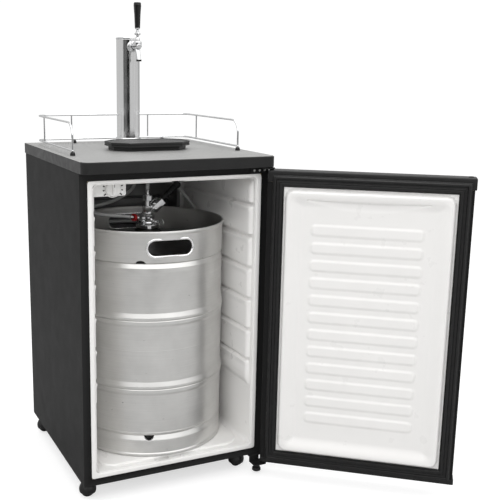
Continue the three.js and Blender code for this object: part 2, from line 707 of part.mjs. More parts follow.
function dripGrid() {
  const sheet = plate(chamferedRect(TRAY_HALF_LENGTH - 6, TRAY_HALF_DEPTH - 6, TRAY_CORNER - 4), 0, 3);
  const slots = [];
  for (let row = -3; row <= 3; row += 1) {
    slots.push(block(-78, -4, row * 14 - 4, row * 14 + 4, -1, 4));
    slots.push(block(4, 78, row * 14 - 4, row * 14 + 4, -1, 4));
  }
  return cut(sheet, ...slots).translate(TOWER_X, TRAY_Y, TOP_SURFACE + GRID_SEAT + 2 * GAP);
}

// ---- Keg, drawn about its own axis and standing on Z = 0 ----
const KEG_RADIUS = 201.2;
const HOOP_HEIGHTS = [188, 370];
const SEAMS = [57, 513]; // where the two chimes are welded to the barrel

// Profile of a rolling hoop: a long upper slope to its crest, then a small step below it.
const hoop = (z) => [
  [KEG_RADIUS, z - 20], [203.4, z - 15], [203.4, z - 6], [202.4, z - 4], [205, z - 1], [205, z + 3],
  [KEG_RADIUS, z + 20],
];

function kegShell() {
  const [lowSeam, highSeam] = SEAMS;
  const profile = [
    [0, 18], [186, 39], [198.4, 52], [198.4, 5], [200, 0.5], [203, 3], [201, 10], [201.5, lowSeam - 12],
    [196.5, lowSeam], [KEG_RADIUS, lowSeam + 9], ...HOOP_HEIGHTS.flatMap(hoop),
    [KEG_RADIUS, highSeam - 16], [195.5, highSeam - 1], [201.4, highSeam + 4],
    [201.4, 586], [204, 590], [202, KEG_HEIGHT], [198.8, 590],
    [198.4, 524], [186, 534], [36, 556], [36, 563], [33, 567], [26, 567],
    [26, 554], [184, 531.5], [190, 512], [198.6, 496], [198.6, 72], [184, 42], [0, 20.5],
  ];
  const slotShape = roundedRect(-60, 60, 532, 573, 20.4);
  const slots = [0, Math.PI].map((turn) => panel(slotShape, -215, -190, 3).rotateZ(turn));
  const drains = [0, 1, 2, 3].map((i) =>
    alongY(rod(9, 0, 10, 8)).translate(0, -207.6, lowSeam - 8).rotateZ((i * Math.PI) / 2 - 0.28));
  return cut(turned(profile, 24), ...slots, ...drains);
}

// Valve neck and draw tube that close the keg, with the well that the coupler's probe comes down in.
function kegSpear() {
  return turned([
    [0, 34], [6.5, 34], [6.5, 525], [14, 530], [20, 543], [25.5, 551], [25.5, 565],
    [20, 565], [20, 562], [9.5, 562], [9.5, 544], [0, 544],
  ], 14);
}

function keg() {
  const set = new THREE.Group();
  set.position.set(KEG_X, KEG_Y, PLATFORM_TOP);
  set.rotation.z = THREE.MathUtils.degToRad(KEG_TURN_DEG);
  set.add(named('keg_shell', kegShell(), KEG_STEEL));
  set.add(named('keg_spear', kegSpear(), KEG_STEEL));
  return set;
}

// ---- Keg coupler, drawn about the keg's axis at its real heights ----
const NECK_TOP = PLATFORM_TOP + 567;
const PIVOT_X = 16; // the handle's pivot stands forward of the keg's axis
const PIVOT_Z = 706;
const PIVOT_RADIUS = 4;
const HANDLE_RISE_DEG = 41;
const PROBE_RADIUS = 7.5;
const INLET_Z = 676;
const INLET_TURN_DEG = 18; // gas inlet: towards the front from straight left
const INLET_RISE_DEG = 12;
const BOSS_END = 26;
const RELIEF_TURN = 0.45;
const RELIEF_Z = 672;
const BARB_TOP = 757;

// Turns a piece drawn along +Z onto the axis of the gas inlet.
function onInletAxis(geometry) {
  return geometry
    .rotateY(THREE.MathUtils.degToRad(INLET_RISE_DEG - 90))
    .rotateZ(THREE.MathUtils.degToRad(INLET_TURN_DEG))
    .translate(0, 0, INLET_Z);
}

// Turns a piece drawn along Y onto the axis of the relief valve.
const onReliefAxis = (geometry) => geometry.rotateZ(RELIEF_TURN).translate(0, 0, RELIEF_Z);

function couplerBody() {
  const bottom = NECK_TOP + GAP;
  const bore = boreRadius(PROBE_RADIUS, 16);
  const shell = turned([
    [bore, bottom], [29, bottom], [31, bottom + 3], [31, bottom + 12],
    [20, bottom + 17], [18, 690], [14, 696], [14, 714], [bore, 714], [bore, bottom],
  ], 16);
  const lug = block(0, PIVOT_X + 8, -13, 13, PIVOT_Z - 8, PIVOT_Z + 8);
  const pivots = alongY(rod(PIVOT_RADIUS, -21.5, 21.5, 12)).translate(PIVOT_X, 0, PIVOT_Z);
  const boss = onInletAxis(rod(10, 12, BOSS_END, 12));
  const reliefBoss = onReliefAxis(alongY(rod(7, -27, -12, 10)));
  const reliefBore = onReliefAxis(alongY(rod(3.4, -30, -20, 8)));
  const probeWay = rod(bore, bottom - 5, 720, 16);
  return cut(join(shell, lug, pivots, boss, reliefBoss), probeWay, reliefBore);
}

function gasInlet() {
  return onInletAxis(turned([
    [0, BOSS_END + GAP], [12.5, BOSS_END + GAP], [12.5, 38], [5, 40], [5, 60], [0, 60],
  ], 12));
}

// Worm clip that holds the gas hose on its barb.
function gasClamp() {
  const ring = turned([[6.2, 43], [10, 43], [10, 50], [6.2, 50], [6.2, 43]], 12);
  return onInletAxis(join(ring, block(-4, 4, 8, 15, 43.5, 49.5)));
}

function couplerProbe() {
  const stem = turned([
    [0, NECK_TOP - 3], [5, NECK_TOP - 3], [PROBE_RADIUS, NECK_TOP + 3], [PROBE_RADIUS, 728], [0, 728],
  ], 16);
  const nut = rod(13, 727, 741, 6);
  const barb = turned([
    [0, 740], [6.5, 740], [6.5, 744], [4.4, 745], [5.4, 748], [4.4, 750], [5.2, 753], [3.8, BARB_TOP],
    [0, BARB_TOP],
  ], 10);
  return join(stem, nut, barb);
}

// Yoke round the body's two pivots, with the arm that carries the grip; drawn pointing along +X.
function couplerHandle() {
  const pivotBore = alongY(rod(boreRadius(PIVOT_RADIUS, 12), -30, 30, 12));
  const cheeks = [-20, 16].map((y) => panel(roundedRect(-9, 30, -9, 9, 8.9), y, y + 4, 3));
  const bridge = block(22, 30, -20, 20, -8, 8);
  const arm = alongX(rod(4.2, 29, 88, 8));
  return cut(join(bridge, ...cheeks, arm), pivotBore);
}

function couplerGrip() {
  const bore = 4.2 + GAP;
  return alongX(turned([
    [bore, 31], [7.5, 31], [8.5, 37], [10, 60], [11, 96], [8, 100], [0, 100],
    [0, 88 + GAP], [bore, 88 + GAP], [bore, 31],
  ], 12));
}

// Spring-loaded plunger with a pull ring.
function reliefPin() {
  const pin = alongY(rod(3, -42, -22, 8));
  const head = alongY(rod(5.6, -33, -28, 8));
  const ring = new THREE.TorusGeometry(9, 1.4, 5, 12).rotateY(Math.PI / 2).translate(0, -49, 0);
  return onReliefAxis(join(pin, head, ring));
}

function coupler() {
  const set = new THREE.Group();
  set.position.set(KEG_X, KEG_Y, 0);
  set.add(named('coupler_body', couplerBody(), CHROME));
  set.add(named('coupler_probe', couplerProbe(), CHROME));
  set.add(named('gas_inlet', gasInlet(), CHROME));
  set.add(named('gas_clamp', gasClamp(), RED_PLASTIC));
  set.add(named('relief_pin', reliefPin(), CHROME));
  const handle = new THREE.Group();
  handle.position.set(PIVOT_X, 0, PIVOT_Z);
  handle.rotation.y = THREE.MathUtils.degToRad(-HANDLE_RISE_DEG);
  handle.add(named('coupler_handle', couplerHandle(), CHROME));
  handle.add(named('coupler_grip', couplerGrip(), BLACK_PLASTIC));
  set.add(handle);
  return set;
}

// ---- Hoses ----
const HOSE_RADIUS = 4.75;

// From the coupler up, down behind the keg, round its back and up through the tower to the shank.
const BEER_LINE_ROUTE = [
  [KEG_X, KEG_Y, BARB_TOP + GAP], [KEG_X, KEG_Y, 761], [3.6, 215.6, 767], [8, 221, 780], [21, 236, 791], [43, 255, 796],
  [71, 273, 790], [100, 289, 771], [128, 301, 747], [154, 309, 721], [177, 316, 697], [193, 324, 675],
  [198, 338, 655], [182, 357, 640], [158, 382, 632], [126, 403, 630], [88, 420, 630], [47, 431, 632],
  [3, 435, 634], [-41, 431, 636], [-83, 420, 640], [-121, 402, 647], [-151, 378, 660], [-167, 352, 675],
  [-162, 336, 691], [-138, 326, 699], [-102, 322, 703], [-64, 322, 711], [-30, 327, 723], [0, 337, 738],
  [18, 352, 756], [22, 369, 778], [15, 382, 802], [TOWER_X, TOWER_Y, 834], [TOWER_X, TOWER_Y, 880],
  [TOWER_X, TOWER_Y, 960], [TOWER_X, TOWER_Y, 1030], [TOWER_X, TOWER_Y, BEER_LINE_TOP],
];

// From the coupler's gas inlet, over the keg's left rim and back to the fitting in the back wall.
const GAS_LINE_ROUTE = [
  [-53.2, 196.7, 688.6], [-62, 193.8, 690.6], [-80, 189, 694], [-104, 187, 697], [-130, 192, 700],
  [-152, 205, 704], [-168, 227, 710], [-179, 256, 718], [-187, 290, 728], [-194, 330, 740],
  [-200, 370, 753], [-204, 410, 764], [-206, 432, 769], [GAS_PORT[0], 447.3, GAS_PORT[1]],
];

// ---- Door, drawn closed in the cabinet's frame ----
const doorOutline = (inset, left = DOOR_LEFT) => roundedRect(
  left + inset, DOOR_RIGHT - inset, DOOR_OUTER + inset, DOOR_INNER - inset, DOOR_CORNER - inset, 1,
);
const SKIN_LEFT = DOOR_LEFT + 4;
const CAP_TOP_BOTTOM = DOOR_TOP - CAP_TOP_HEIGHT;
const CAP_BOTTOM_TOP = DOOR_BOTTOM + CAP_BOTTOM_HEIGHT;

// Steel skin: outer face, both edges and the return flanges that the liner is fixed to.
function doorSkin() {
  const z0 = CAP_BOTTOM_TOP + GAP;
  const z1 = CAP_TOP_BOTTOM - GAP;
  const inner = roundedRect(
    SKIN_LEFT + SHEET, DOOR_RIGHT - SHEET, DOOR_OUTER + SHEET, DOOR_INNER - SHEET, DOOR_CORNER - SHEET, 0.5,
  );
  return cut(
    plate(doorOutline(0, SKIN_LEFT), z0, z1, 3),
    plate(inner, z0 - 1, z1 + 1, 3),
    block(SKIN_LEFT + 18, DOOR_RIGHT - 18, DOOR_INNER - 5, DOOR_INNER + 5, z0 - 1, z1 + 1),
  );
}

function doorFoam() {
  const inset = SHEET + GAP;
  const shape = roundedRect(
    SKIN_LEFT + inset, DOOR_RIGHT - inset, DOOR_OUTER + inset, DOOR_INNER - inset, DOOR_CORNER - inset, 0.5,
  );
  return plate(shape, CAP_BOTTOM_TOP + GAP, CAP_TOP_BOTTOM - GAP, 2);
}

const PLUG_X = DOOR_LEFT + 14;
const PLUG_Y = (DOOR_OUTER + DOOR_INNER) / 2;

function doorCapTop() {
  const bore = rod(boreRadius(PIN_RADIUS, 16), 803, DOOR_TOP + 1, 16).translate(HINGE_X, HINGE_Y, 0);
  const plugHole = rod(5.3, DOOR_TOP - 8, DOOR_TOP + 1, 12).translate(PLUG_X, PLUG_Y, 0);
  return cut(plate(doorOutline(0), CAP_TOP_BOTTOM, DOOR_TOP), bore, plugHole);
}

function doorCapBottom() {
  const bore = rod(boreRadius(PIN_RADIUS, 16), DOOR_BOTTOM - 1, 49, 16).translate(HINGE_X, HINGE_Y, 0);
  return cut(plate(doorOutline(0, DOOR_LEFT + 1), DOOR_BOTTOM, CAP_BOTTOM_TOP), bore);
}

function hingeHolePlug() {
  return join(rod(6.5, DOOR_TOP + GAP, DOOR_TOP + 2, 12), rod(4.8, DOOR_TOP - 6, DOOR_TOP + 1, 12))
    .translate(PLUG_X, PLUG_Y, 0);
}

// A long bar with six-sided ends.
function stadium(x0, x1, z, half) {
  const [near, far] = [half * 0.3, half];
  return outline([
    [x0, z - near], [x0 + far, z - half], [x1 - far, z - half], [x1, z - near],
    [x1, z + near], [x1 - far, z + half], [x0 + far, z + half], [x0, z + near],
  ]);
}

const GASKET = { left: -241, right: 237, bottom: 50, top: 816, width: 29 };
const gasketRect = (inset, radius) => roundedRect(
  GASKET.left + inset, GASKET.right - inset, GASKET.bottom + inset, GASKET.top - inset, radius,
);

// One ridge of the gasket: a frame between two insets, reaching from y0 to y1.
const gasketFrame = (from, to, y0, y1) =>
  cut(panel(gasketRect(from, 4), y0, y1, 1), panel(gasketRect(to, 3), y0 - 1, y1 + 1, 1));

function doorGasket() {
  const base = LINER_FACE + GAP;
  return join(
    gasketFrame(0, GASKET.width, base, base + 4),
    gasketFrame(3, 10, base + 3, -0.8),
    gasketFrame(18, 26, base + 3, -1.8),
  );
}

const LINER_FACE = DOOR_INNER + GAP + 2;
const PANEL = { left: -209, right: 205, bottom: 82, top: 784 };
const panelRect = (inset, radius) => roundedRect(
  PANEL.left + inset, PANEL.right - inset, PANEL.bottom + inset, PANEL.top - inset, radius,
);
const RIB_PITCH = 45.2;
const RIB_TOP = 682;
const DIKE_FACE = 8;
const FIELD_FACE = -3;

// White moulded panel: a dike round the edge, twelve ribs and a shallow curved recess in the field.
function doorLiner() {
  const sheet = panel(roundedRect(-238, 234, 53, 813, 6), DOOR_INNER + GAP, LINER_FACE);
  const dike = cut(
    panel(panelRect(0, 24), LINER_FACE - 1, DIKE_FACE, 3),
    panel(panelRect(20, 16), FIELD_FACE, DIKE_FACE + 1, 3),
  );
  const ribs = Array.from({ length: 12 }, (_, i) => {
    const z = RIB_TOP - RIB_PITCH * i;
    return panel(stadium(-139, 137, z, 15), FIELD_FACE - 1, FIELD_FACE + 3);
  });
  const smile = new THREE.Shape();
  smile.moveTo(-150, 758);
  smile.quadraticCurveTo(-1, 704, 148, 758);
  smile.quadraticCurveTo(-1, 742, -150, 758);
  const recess = panel(smile, FIELD_FACE - 2, FIELD_FACE + 1, 5);
  return cut(join(sheet, dike, ...ribs), recess);
}

function door() {
  const set = new THREE.Group();
  set.position.set(HINGE_X, HINGE_Y, 0);
  set.rotation.z = THREE.MathUtils.degToRad(DOOR_OPEN_DEG);
  const add = (name, geometry, look) => set.add(named(name, geometry.translate(-HINGE_X, -HINGE_Y, 0), look));
  add('door_skin', doorSkin(), BLACK_STEEL);
  add('door_foam', doorFoam(), FOAM);
  add('door_cap_top', doorCapTop(), BLACK_PLASTIC);
  add('door_cap_bottom', doorCapBottom(), BLACK_PLASTIC);
  add('hinge_hole_plug', hingeHolePlug(), BLACK_PLASTIC);
  add('door_liner', doorLiner(), WHITE_LINER);
  add('door_gasket', doorGasket(), RUBBER);
  return set;
}

// ---- The whole model ----
function cabinet() {
  const set = new THREE.Group();
  set.add(named('cabinet_shell', cabinetShell(), BLACK_STEEL));
  set.add(named('front_frame', frontFrame(), BLACK_STEEL));
  set.add(named('base_plate', basePlate(), BLACK_STEEL));
  set.add(named('back_panel', backPanel(), BLACK_STEEL));
  set.add(named('insulation_foam', insulationFoam(), FOAM));
  set.add(named('inner_liner', innerLiner(), WHITE_LINER));
  set.add(named('evaporator_plate', evaporatorPlate(), ALUMINIUM));
  set.add(named('worktop', worktop(), GREY_TOP));
  set.add(named('worktop_front_trim', worktopFrontTrim(), BLACK_PLASTIC));
  set.add(named('thermostat_housing', thermostatHousing(), WHITE_PLASTIC));
  set.add(named('thermostat_knob', thermostatKnob(), WHITE_PLASTIC));
  set.add(named('compressor', compressor(), BLACK_STEEL));
  set.add(named('condenser_coil', condenserCoil(), BLACK_STEEL));
  set.add(named('gas_bulkhead', gasBulkhead(), ZINC));
  set.add(named('mains_inlet', mainsInlet(), RUBBER));
  set.add(named('top_hinge_bracket', topHingeBracket(), BLACK_STEEL));
  set.add(named('bottom_hinge_bracket', bottomHingeBracket(), BLACK_STEEL));
  set.add(named('levelling_foot', levellingFoot(), BLACK_PLASTIC));
  return set;
}

function topFittings() {
  const set = new THREE.Group();
  set.add(named('guard_rail', guardRail(), CHROME));
  RAIL_FEET.forEach(([x, y], i) => {
    const foot = named(`rail_foot_${i + 1}`, railFoot(), RUBBER);
    foot.position.set(x, y, 0);
    set.add(foot);
  });
  set.add(named('tower_column', towerColumn(), CHROME));
  set.add(named('tower_flange', towerFlange(), CHROME));
  set.add(named('tower_cap', towerCap(), CHROME));
  set.add(named('drip_tray', dripTray(), BLACK_PLASTIC));
  set.add(named('drip_grid', dripGrid(), BLACK_PLASTIC));
  return set;
}

const kegerator = new THREE.Group();
kegerator.add(cabinet(), casters(), topFittings(), faucet(), keg(), coupler(), door());
kegerator.add(named('beer_line', hose(BEER_LINE_ROUTE, HOSE_RADIUS, 60), CLEAR_HOSE));
kegerator.add(named('gas_line', hose(GAS_LINE_ROUTE, HOSE_RADIUS, 18), GREY_HOSE));

const middle = new THREE.Box3().setFromObject(kegerator, true).getCenter(new THREE.Vector3());
kegerator.position.set(-middle.x, -middle.y, 0);

export default kegerator;
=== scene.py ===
"""A single-tap kegerator with its door open: the looks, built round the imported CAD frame.

Lengths are in millimetres in the cabinet's own frame, as in the part's source: X runs across from the middle
of the body, Y runs back from its front face and Z runs up from the floor. in_frame() turns them into metres
in the frame. The door is drawn shut and then swung open about its hinge.
"""
import json
import math

import bmesh
import bpy
import numpy as np
from mathutils import Matrix, Vector

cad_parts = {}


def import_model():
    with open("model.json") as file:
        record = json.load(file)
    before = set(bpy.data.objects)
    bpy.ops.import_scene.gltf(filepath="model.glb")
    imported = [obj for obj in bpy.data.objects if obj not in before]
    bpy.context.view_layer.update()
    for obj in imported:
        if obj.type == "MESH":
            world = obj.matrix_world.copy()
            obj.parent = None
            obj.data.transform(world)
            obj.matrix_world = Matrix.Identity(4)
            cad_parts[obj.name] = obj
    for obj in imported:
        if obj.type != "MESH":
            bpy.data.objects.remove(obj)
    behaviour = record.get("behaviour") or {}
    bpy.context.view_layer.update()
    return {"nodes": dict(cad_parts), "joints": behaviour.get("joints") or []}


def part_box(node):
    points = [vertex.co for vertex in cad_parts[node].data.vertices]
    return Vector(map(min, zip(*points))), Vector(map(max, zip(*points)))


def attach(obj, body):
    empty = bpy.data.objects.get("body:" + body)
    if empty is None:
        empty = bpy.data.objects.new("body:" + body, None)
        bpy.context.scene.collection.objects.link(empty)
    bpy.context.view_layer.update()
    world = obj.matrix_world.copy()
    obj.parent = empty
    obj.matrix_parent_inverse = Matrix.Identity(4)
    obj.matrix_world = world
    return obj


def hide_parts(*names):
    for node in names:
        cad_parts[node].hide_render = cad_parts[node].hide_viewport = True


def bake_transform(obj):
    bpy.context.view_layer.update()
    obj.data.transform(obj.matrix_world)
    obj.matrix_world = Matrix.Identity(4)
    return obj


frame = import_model()

# ---- Places taken from the frame ----
MM = 1000.0
shell_low, shell_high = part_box("cabinet_shell")
front_low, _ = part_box("front_frame")
ORIGIN = Vector(((shell_low.x + shell_high.x) / 2, front_low.y, 0))
joints = {joint["name"]: joint for joint in frame["joints"]}


def joint_place(name):
    return (Vector(joints[name]["pos_m"]) - ORIGIN) * MM


def spin(axis, degrees):
    """A turn about X, Y or Z."""
    return Matrix.Rotation(math.radians(degrees), 4, axis)


def shift(x, y, z):
    return Matrix.Translation((x, y, z))


HINGE = joint_place("door_hinge")
DOOR_OPEN = -joints["door_hinge"]["range_deg"][0]
SWING = shift(HINGE.x, HINGE.y, 0) @ spin("Z", DOOR_OPEN) @ shift(-HINGE.x, -HINGE.y, 0)
HERE = Matrix.Identity(4)
ALONG_Y = spin("X", -90)  # turns +Z to +Y
AGAINST_Y = spin("X", 90)  # turns +Z to -Y
ALONG_X = spin("Y", 90)  # turns +Z to +X

# ---- Driving sizes, as in the part's source ----
GAP = 0.3
BODY_TOP = 834
WORKTOP_TOP = 862
KEG = Vector((3, 215, 85))
KEG_TURN = -4.3
TOWER = Vector((12, 385, 862.3))
FAUCET = Vector((12, 310, 1130))
TRAY = Vector((12, 238, 862.3))
PIVOT = joint_place("coupler_lever_pivot")
TAP_PIVOT = joint_place("tap_tilt")


# ---- Outlines ----
def full_circle(sides):
    """Angles once round. The first isn't repeated at the end."""
    return np.linspace(0, 2 * math.pi, sides, endpoint=False)


def arc(cx, cy, radius, start, end, steps):
    """Points on an arc, in degrees, both ends included."""
    angles = np.radians(np.linspace(start, end, steps + 1))
    return [(cx + radius * math.cos(angle), cy + radius * math.sin(angle)) for angle in angles]


def rect_loop(x0, x1, y0, y1, low, high=None, steps=8):
    """A rectangle with one radius on its low-y corners and another on its high-y corners."""
    high = low if high is None else high
    return (
        arc(x0 + low, y0 + low, low, 180, 270, steps)
        + arc(x1 - low, y0 + low, low, 270, 360, steps)
        + arc(x1 - high, y1 - high, high, 0, 90, steps)
        + arc(x0 + high, y1 - high, high, 90, 180, steps)
    )


def round_corners(corners, radii, steps, closed):
    """Replaces each corner of a line of Vectors with an arc of its own radius."""
    count = len(corners)
    out = []
    for i, corner in enumerate(corners):
        if not closed and i in (0, count - 1):
            out.append(corner)
            continue
        back = corners[i - 1] - corner
        ahead = corners[(i + 1) % count] - corner
        if min(back.length, ahead.length) < 1e-9:
            out.append(corner)
            continue
        half = back.angle(ahead) / 2
        if radii[i] <= 0 or half > 1.55:
            out.append(corner)
            continue
        reach = min(radii[i] / math.tan(half), 0.49 * back.length, 0.49 * ahead.length)
        bend = reach * math.tan(half)
        middle = (back.normalized() + ahead.normalized()).normalized()
        centre = corner + middle * (bend / math.sin(half))
        start = corner + back.normalized() * reach - centre
        end = corner + ahead.normalized() * reach - centre
        axis = start.cross(end).normalized()
        turn = start.angle(end)
        for step in range(steps + 1):
            out.append(centre + Matrix.Rotation(turn * step / steps, 3, axis) @ start)
    return out


def soften(points, radius, steps=4, closed=False):
    """Rounds the corners of a flat outline. A corner's own radius may follow its two coordinates."""
    corners = [Vector((p[0], p[1], 0)) for p in points]
    radii = [p[2] if len(p) > 2 else radius for p in points]
    return [(p.x, p.y) for p in round_corners(corners, radii, steps, closed)]


def bent_line(points, radius, steps=8):
    """A line in space with its corners rounded to one radius."""
    return round_corners([Vector(p) for p in points], [radius] * len(points), steps, False)


def smooth_line(points, spacing):
    """A Catmull-Rom line through points, at an even spacing."""
    given = [Vector(point) for point in points]
    given = [2 * given[0] - given[1], *given, 2 * given[-1] - given[-2]]
    fine = []
    for before, start, end, after in zip(given, given[1:], given[2:], given[3:]):
        linear = end - before
        square = 2 * before - 5 * start + 4 * end - after
        cube = 3 * start - before - 3 * end + after
        for share in np.linspace(0, 1, 16, endpoint=False):
            fine.append(0.5 * (2 * start + linear * share + square * share**2 + cube * share**3))
    fine.append(given[-2])
    lengths = np.concatenate([[0], np.cumsum([(q - p).length for p, q in zip(fine, fine[1:])])])
    wanted = np.linspace(0, lengths[-1], max(int(lengths[-1] / spacing), 2) + 1)
    columns = [np.interp(wanted, lengths, [point[axis] for point in fine]) for axis in range(3)]
    return [Vector(p) for p in zip(*columns)]


# ---- Meshes: each is (points, faces) in millimetres ----
def loft(loops, closed=False, start_cap=True, end_cap=True):
    """Joins loops of equal length with quads. closed joins the last loop to the first."""
    size = len(loops[0])
    points = [p for loop in loops for p in loop]
    faces = []
    rows = len(loops)
    for i in range(rows if closed else rows - 1):
        a, b = i * size, ((i + 1) % rows) * size
        for k in range(size):
            n = (k + 1) % size
            faces.append((a + k, a + n, b + n, b + k))
    if not closed and start_cap:
        faces.append(tuple(range(size))[::-1])
    if not closed and end_cap:
        faces.append(tuple(range((rows - 1) * size, rows * size)))
    return points, faces


def held(profile, closed, reach=1.0):
    """The profile with a point near each end of its long runs, to keep them flat beside rounded corners."""
    points = [Vector(p[:2]) for p in profile]
    made = []
    for i, point in enumerate(points):
        made.append(tuple(point))
        if i == len(points) - 1 and not closed:
            break
        ahead = points[(i + 1) % len(points)]
        run = (ahead - point).length
        if run > 6 * reach:
            made.append(tuple(point.lerp(ahead, reach / run)))
            made.append(tuple(point.lerp(ahead, 1 - reach / run)))
    return made


def turned(profile, sides=64, closed=False):
    """A profile of (radius, z) turned about Z. It ends on the axis, or closes on itself."""
    loops = [
        [(r * math.cos(a), r * math.sin(a), z) for a in full_circle(sides)]
        for r, z in ((max(r, 1e-3), z) for r, z in held(profile, closed))
    ]
    return loft(loops, closed)


def lathe(points, radius, steps, sides, closed=False):
    """A profile with its corners rounded, turned about Z."""
    return turned(soften(points, radius, steps, closed), sides, closed)


def edge_steps(height, low_edge, high_edge, steps=4):
    """(inset, height) pairs of a plate whose low and high edges are rounded."""
    low = arc(0, 0, low_edge, 90, 0, steps) if low_edge else [(0, 0)]
    high = arc(0, 0, high_edge, 0, 90, steps) if high_edge else [(0, 0)]
    rows = [(low_edge - x, low_edge - y) for x, y in low]
    return rows + [(high_edge - x, height - high_edge + y) for x, y in high]


def slab(x0, x1, y0, y1, z0, z1, corner, low_edge=0.0, high_edge=0.0, back_corner=None, steps=8):
    """A plate in plan with rounded corners and rounded low and high edges."""
    back = corner if back_corner is None else back_corner
    loops = []
    for inset, z in edge_steps(z1 - z0, low_edge, high_edge):
        radii = [max(r - inset, 0.05) for r in (corner, back)]
        loop = rect_loop(x0 + inset, x1 - inset, y0 + inset, y1 - inset, *radii, steps=steps)
        loops.append([(x, y, z0 + z) for x, y in loop])
    return loft(loops)


def upright(mesh):
    """Stands a mesh drawn in plan up on its low-y edge: plan y becomes z, and z becomes depth towards +Y."""
    points, faces = mesh
    return [(x, z, y) for x, y, z in points], [face[::-1] for face in faces]


def front_slab(x0, x1, z0, z1, y0, y1, corner, front_edge=0.0, back_edge=0.0, steps=8):
    """A plate in elevation: it spans x and z and is thick in y."""
    return upright(slab(x0, x1, z0, z1, y0, y1, corner, front_edge, back_edge, steps=steps))


def frame_ring(rows, steps=8):
    """Closed ring through rows of ((x0, x1, z0, z1, corner), y), all in elevation."""
    loops = [[(x, z, y) for x, z in rect_loop(*rect, steps=steps)] for rect, y in rows]
    return upright(loft(loops, closed=True))


def ring_at(centre, side, other, radius, sides):
    """A circle of points about a centre, in the plane of two directions."""
    return [
        tuple(centre + radius * (side * math.cos(angle) + other * math.sin(angle)))
        for angle in full_circle(sides)
    ]


def tube(line, radius, sides=16, caps=True):
    """A round tube along a line of points."""
    line = [Vector(p) for p in line]
    ahead = (line[1] - line[0]).normalized()
    side = ahead.orthogonal().normalized()
    loops = []
    for i, point in enumerate(line):
        before = line[max(i - 1, 0)]
        after = line[min(i + 1, len(line) - 1)]
        into = (point - before).normalized() if i else (after - point).normalized()
        out = (after - point).normalized() if i < len(line) - 1 else into
        tangent = (into + out).normalized()
        side = (side - tangent * side.dot(tangent)).normalized()
        loops.append(ring_at(point, side, tangent.cross(side), radius, sides))
    return loft(loops, start_cap=caps, end_cap=caps)


def grid(rows):
    """A sheet through rows of points."""
    width = len(rows[0])
    points = [p for row in rows for p in row]
    faces = [
        (i * width + k, i * width + k + 1, (i + 1) * width + k + 1, (i + 1) * width + k)
        for i in range(len(rows) - 1) for k in range(width - 1)
    ]
    return points, faces


def placed(mesh, matrix):
    points, faces = mesh
    return [tuple(matrix @ Vector(p)) for p in points], faces


def together(*meshes):
    points, faces = [], []
    for more_points, more_faces in meshes:
        start = len(points)
        points += list(more_points)
        faces += [tuple(start + i for i in face) for face in more_faces]
    return points, faces


# ---- Materials ----
def graph(name):
    """A new material with its node tree, shader and Object coordinates."""
    made = bpy.data.materials.new(name)
    made.use_nodes = True
    tree = made.node_tree
    where = tree.nodes.new("ShaderNodeTexCoord").outputs["Object"]
    return made, tree, tree.nodes["Principled BSDF"], where


def feed(tree, given, socket):
    """Links an output to an input, or sets the input to a plain value."""
    if isinstance(given, bpy.types.NodeSocket):
        tree.links.new(given, socket)
    else:
        socket.default_value = given


def node(tree, kind, **settings):
    new = tree.nodes.new(kind)
    for key, value in settings.items():
        if key in new.inputs:
            new.inputs[key].default_value = value
        else:
            setattr(new, key, value)
    return new


def noise_at(tree, where, scale, detail=3.0, stretch=None):
    """Noise in Object coordinates. stretch scales X, Y and Z for brushed or streaked grain."""
    if stretch:
        mapping = node(tree, "ShaderNodeMapping", Scale=stretch)
        tree.links.new(where, mapping.inputs["Vector"])
        where = mapping.outputs["Vector"]
    made = node(tree, "ShaderNodeTexNoise", Scale=scale, Detail=detail)
    tree.links.new(where, made.inputs["Vector"])
    return made.outputs["Fac"]


def ramp(tree, value, stops):
    made = tree.nodes.new("ShaderNodeValToRGB")
    elements = made.color_ramp.elements
    while len(elements) < len(stops):
        elements.new(0.5)
    for element, (at, colour) in zip(elements, stops):
        element.position = at
        element.color = (*colour, 1)
    tree.links.new(value, made.inputs["Fac"])
    return made.outputs["Color"]


def mottled(tree, value, dark, light):
    """One colour fading to another over the middle of a noise."""
    return ramp(tree, value, [(0.3, dark), (0.7, light)])


def spread(tree, value, low, high, from_low=0.3, from_high=0.7):
    made = node(tree, "ShaderNodeMapRange", clamp=True)
    for socket, number in zip(("From Min", "From Max", "To Min", "To Max"), (from_low, from_high, low, high)):
        made.inputs[socket].default_value = number
    tree.links.new(value, made.inputs["Value"])
    return made.outputs["Result"]


def mixed(tree, first, second, factor=1.0, blend="MULTIPLY"):
    """Two colours mixed. Each, and the factor, is an output or a plain value."""
    mix = node(tree, "ShaderNodeMix", data_type="RGBA", blend_type=blend)
    feed(tree, factor, mix.inputs["Factor"])
    feed(tree, first, mix.inputs[6])
    feed(tree, second, mix.inputs[7])
    return mix.outputs[2]


def sums(tree, operation, first, second):
    """One arithmetic step on an output and another output or number."""
    step = node(tree, "ShaderNodeMath", operation=operation)
    feed(tree, first, step.inputs[0])
    feed(tree, second, step.inputs[1])
    return step.outputs[0]


def surface(tree, shader, colour, rough, reliefs, distance, **values):
    """Sets up a shader: colour, roughness, chained reliefs of (height, strength), and plain values."""
    tree.links.new(colour, shader.inputs["Base Color"])
    tree.links.new(rough, shader.inputs["Roughness"])
    for name, value in values.items():
        shader.inputs[name.replace("_", " ")].default_value = value
    last = None
    for height, strength in reliefs:
        relief = node(tree, "ShaderNodeBump", Strength=strength, Distance=distance)
        tree.links.new(height, relief.inputs["Height"])
        if last:
            tree.links.new(last, relief.inputs["Normal"])
        last = relief.outputs["Normal"]
    tree.links.new(last, shader.inputs["Normal"])


def edge_wear(tree, colour, worn):
    """Mixes a worn colour in along sharp edges."""
    edge = spread(tree, node(tree, "ShaderNodeNewGeometry").outputs["Pointiness"], 0, 0.5, 0.52, 0.6)
    return mixed(tree, colour, (*worn, 1), edge, "MIX")


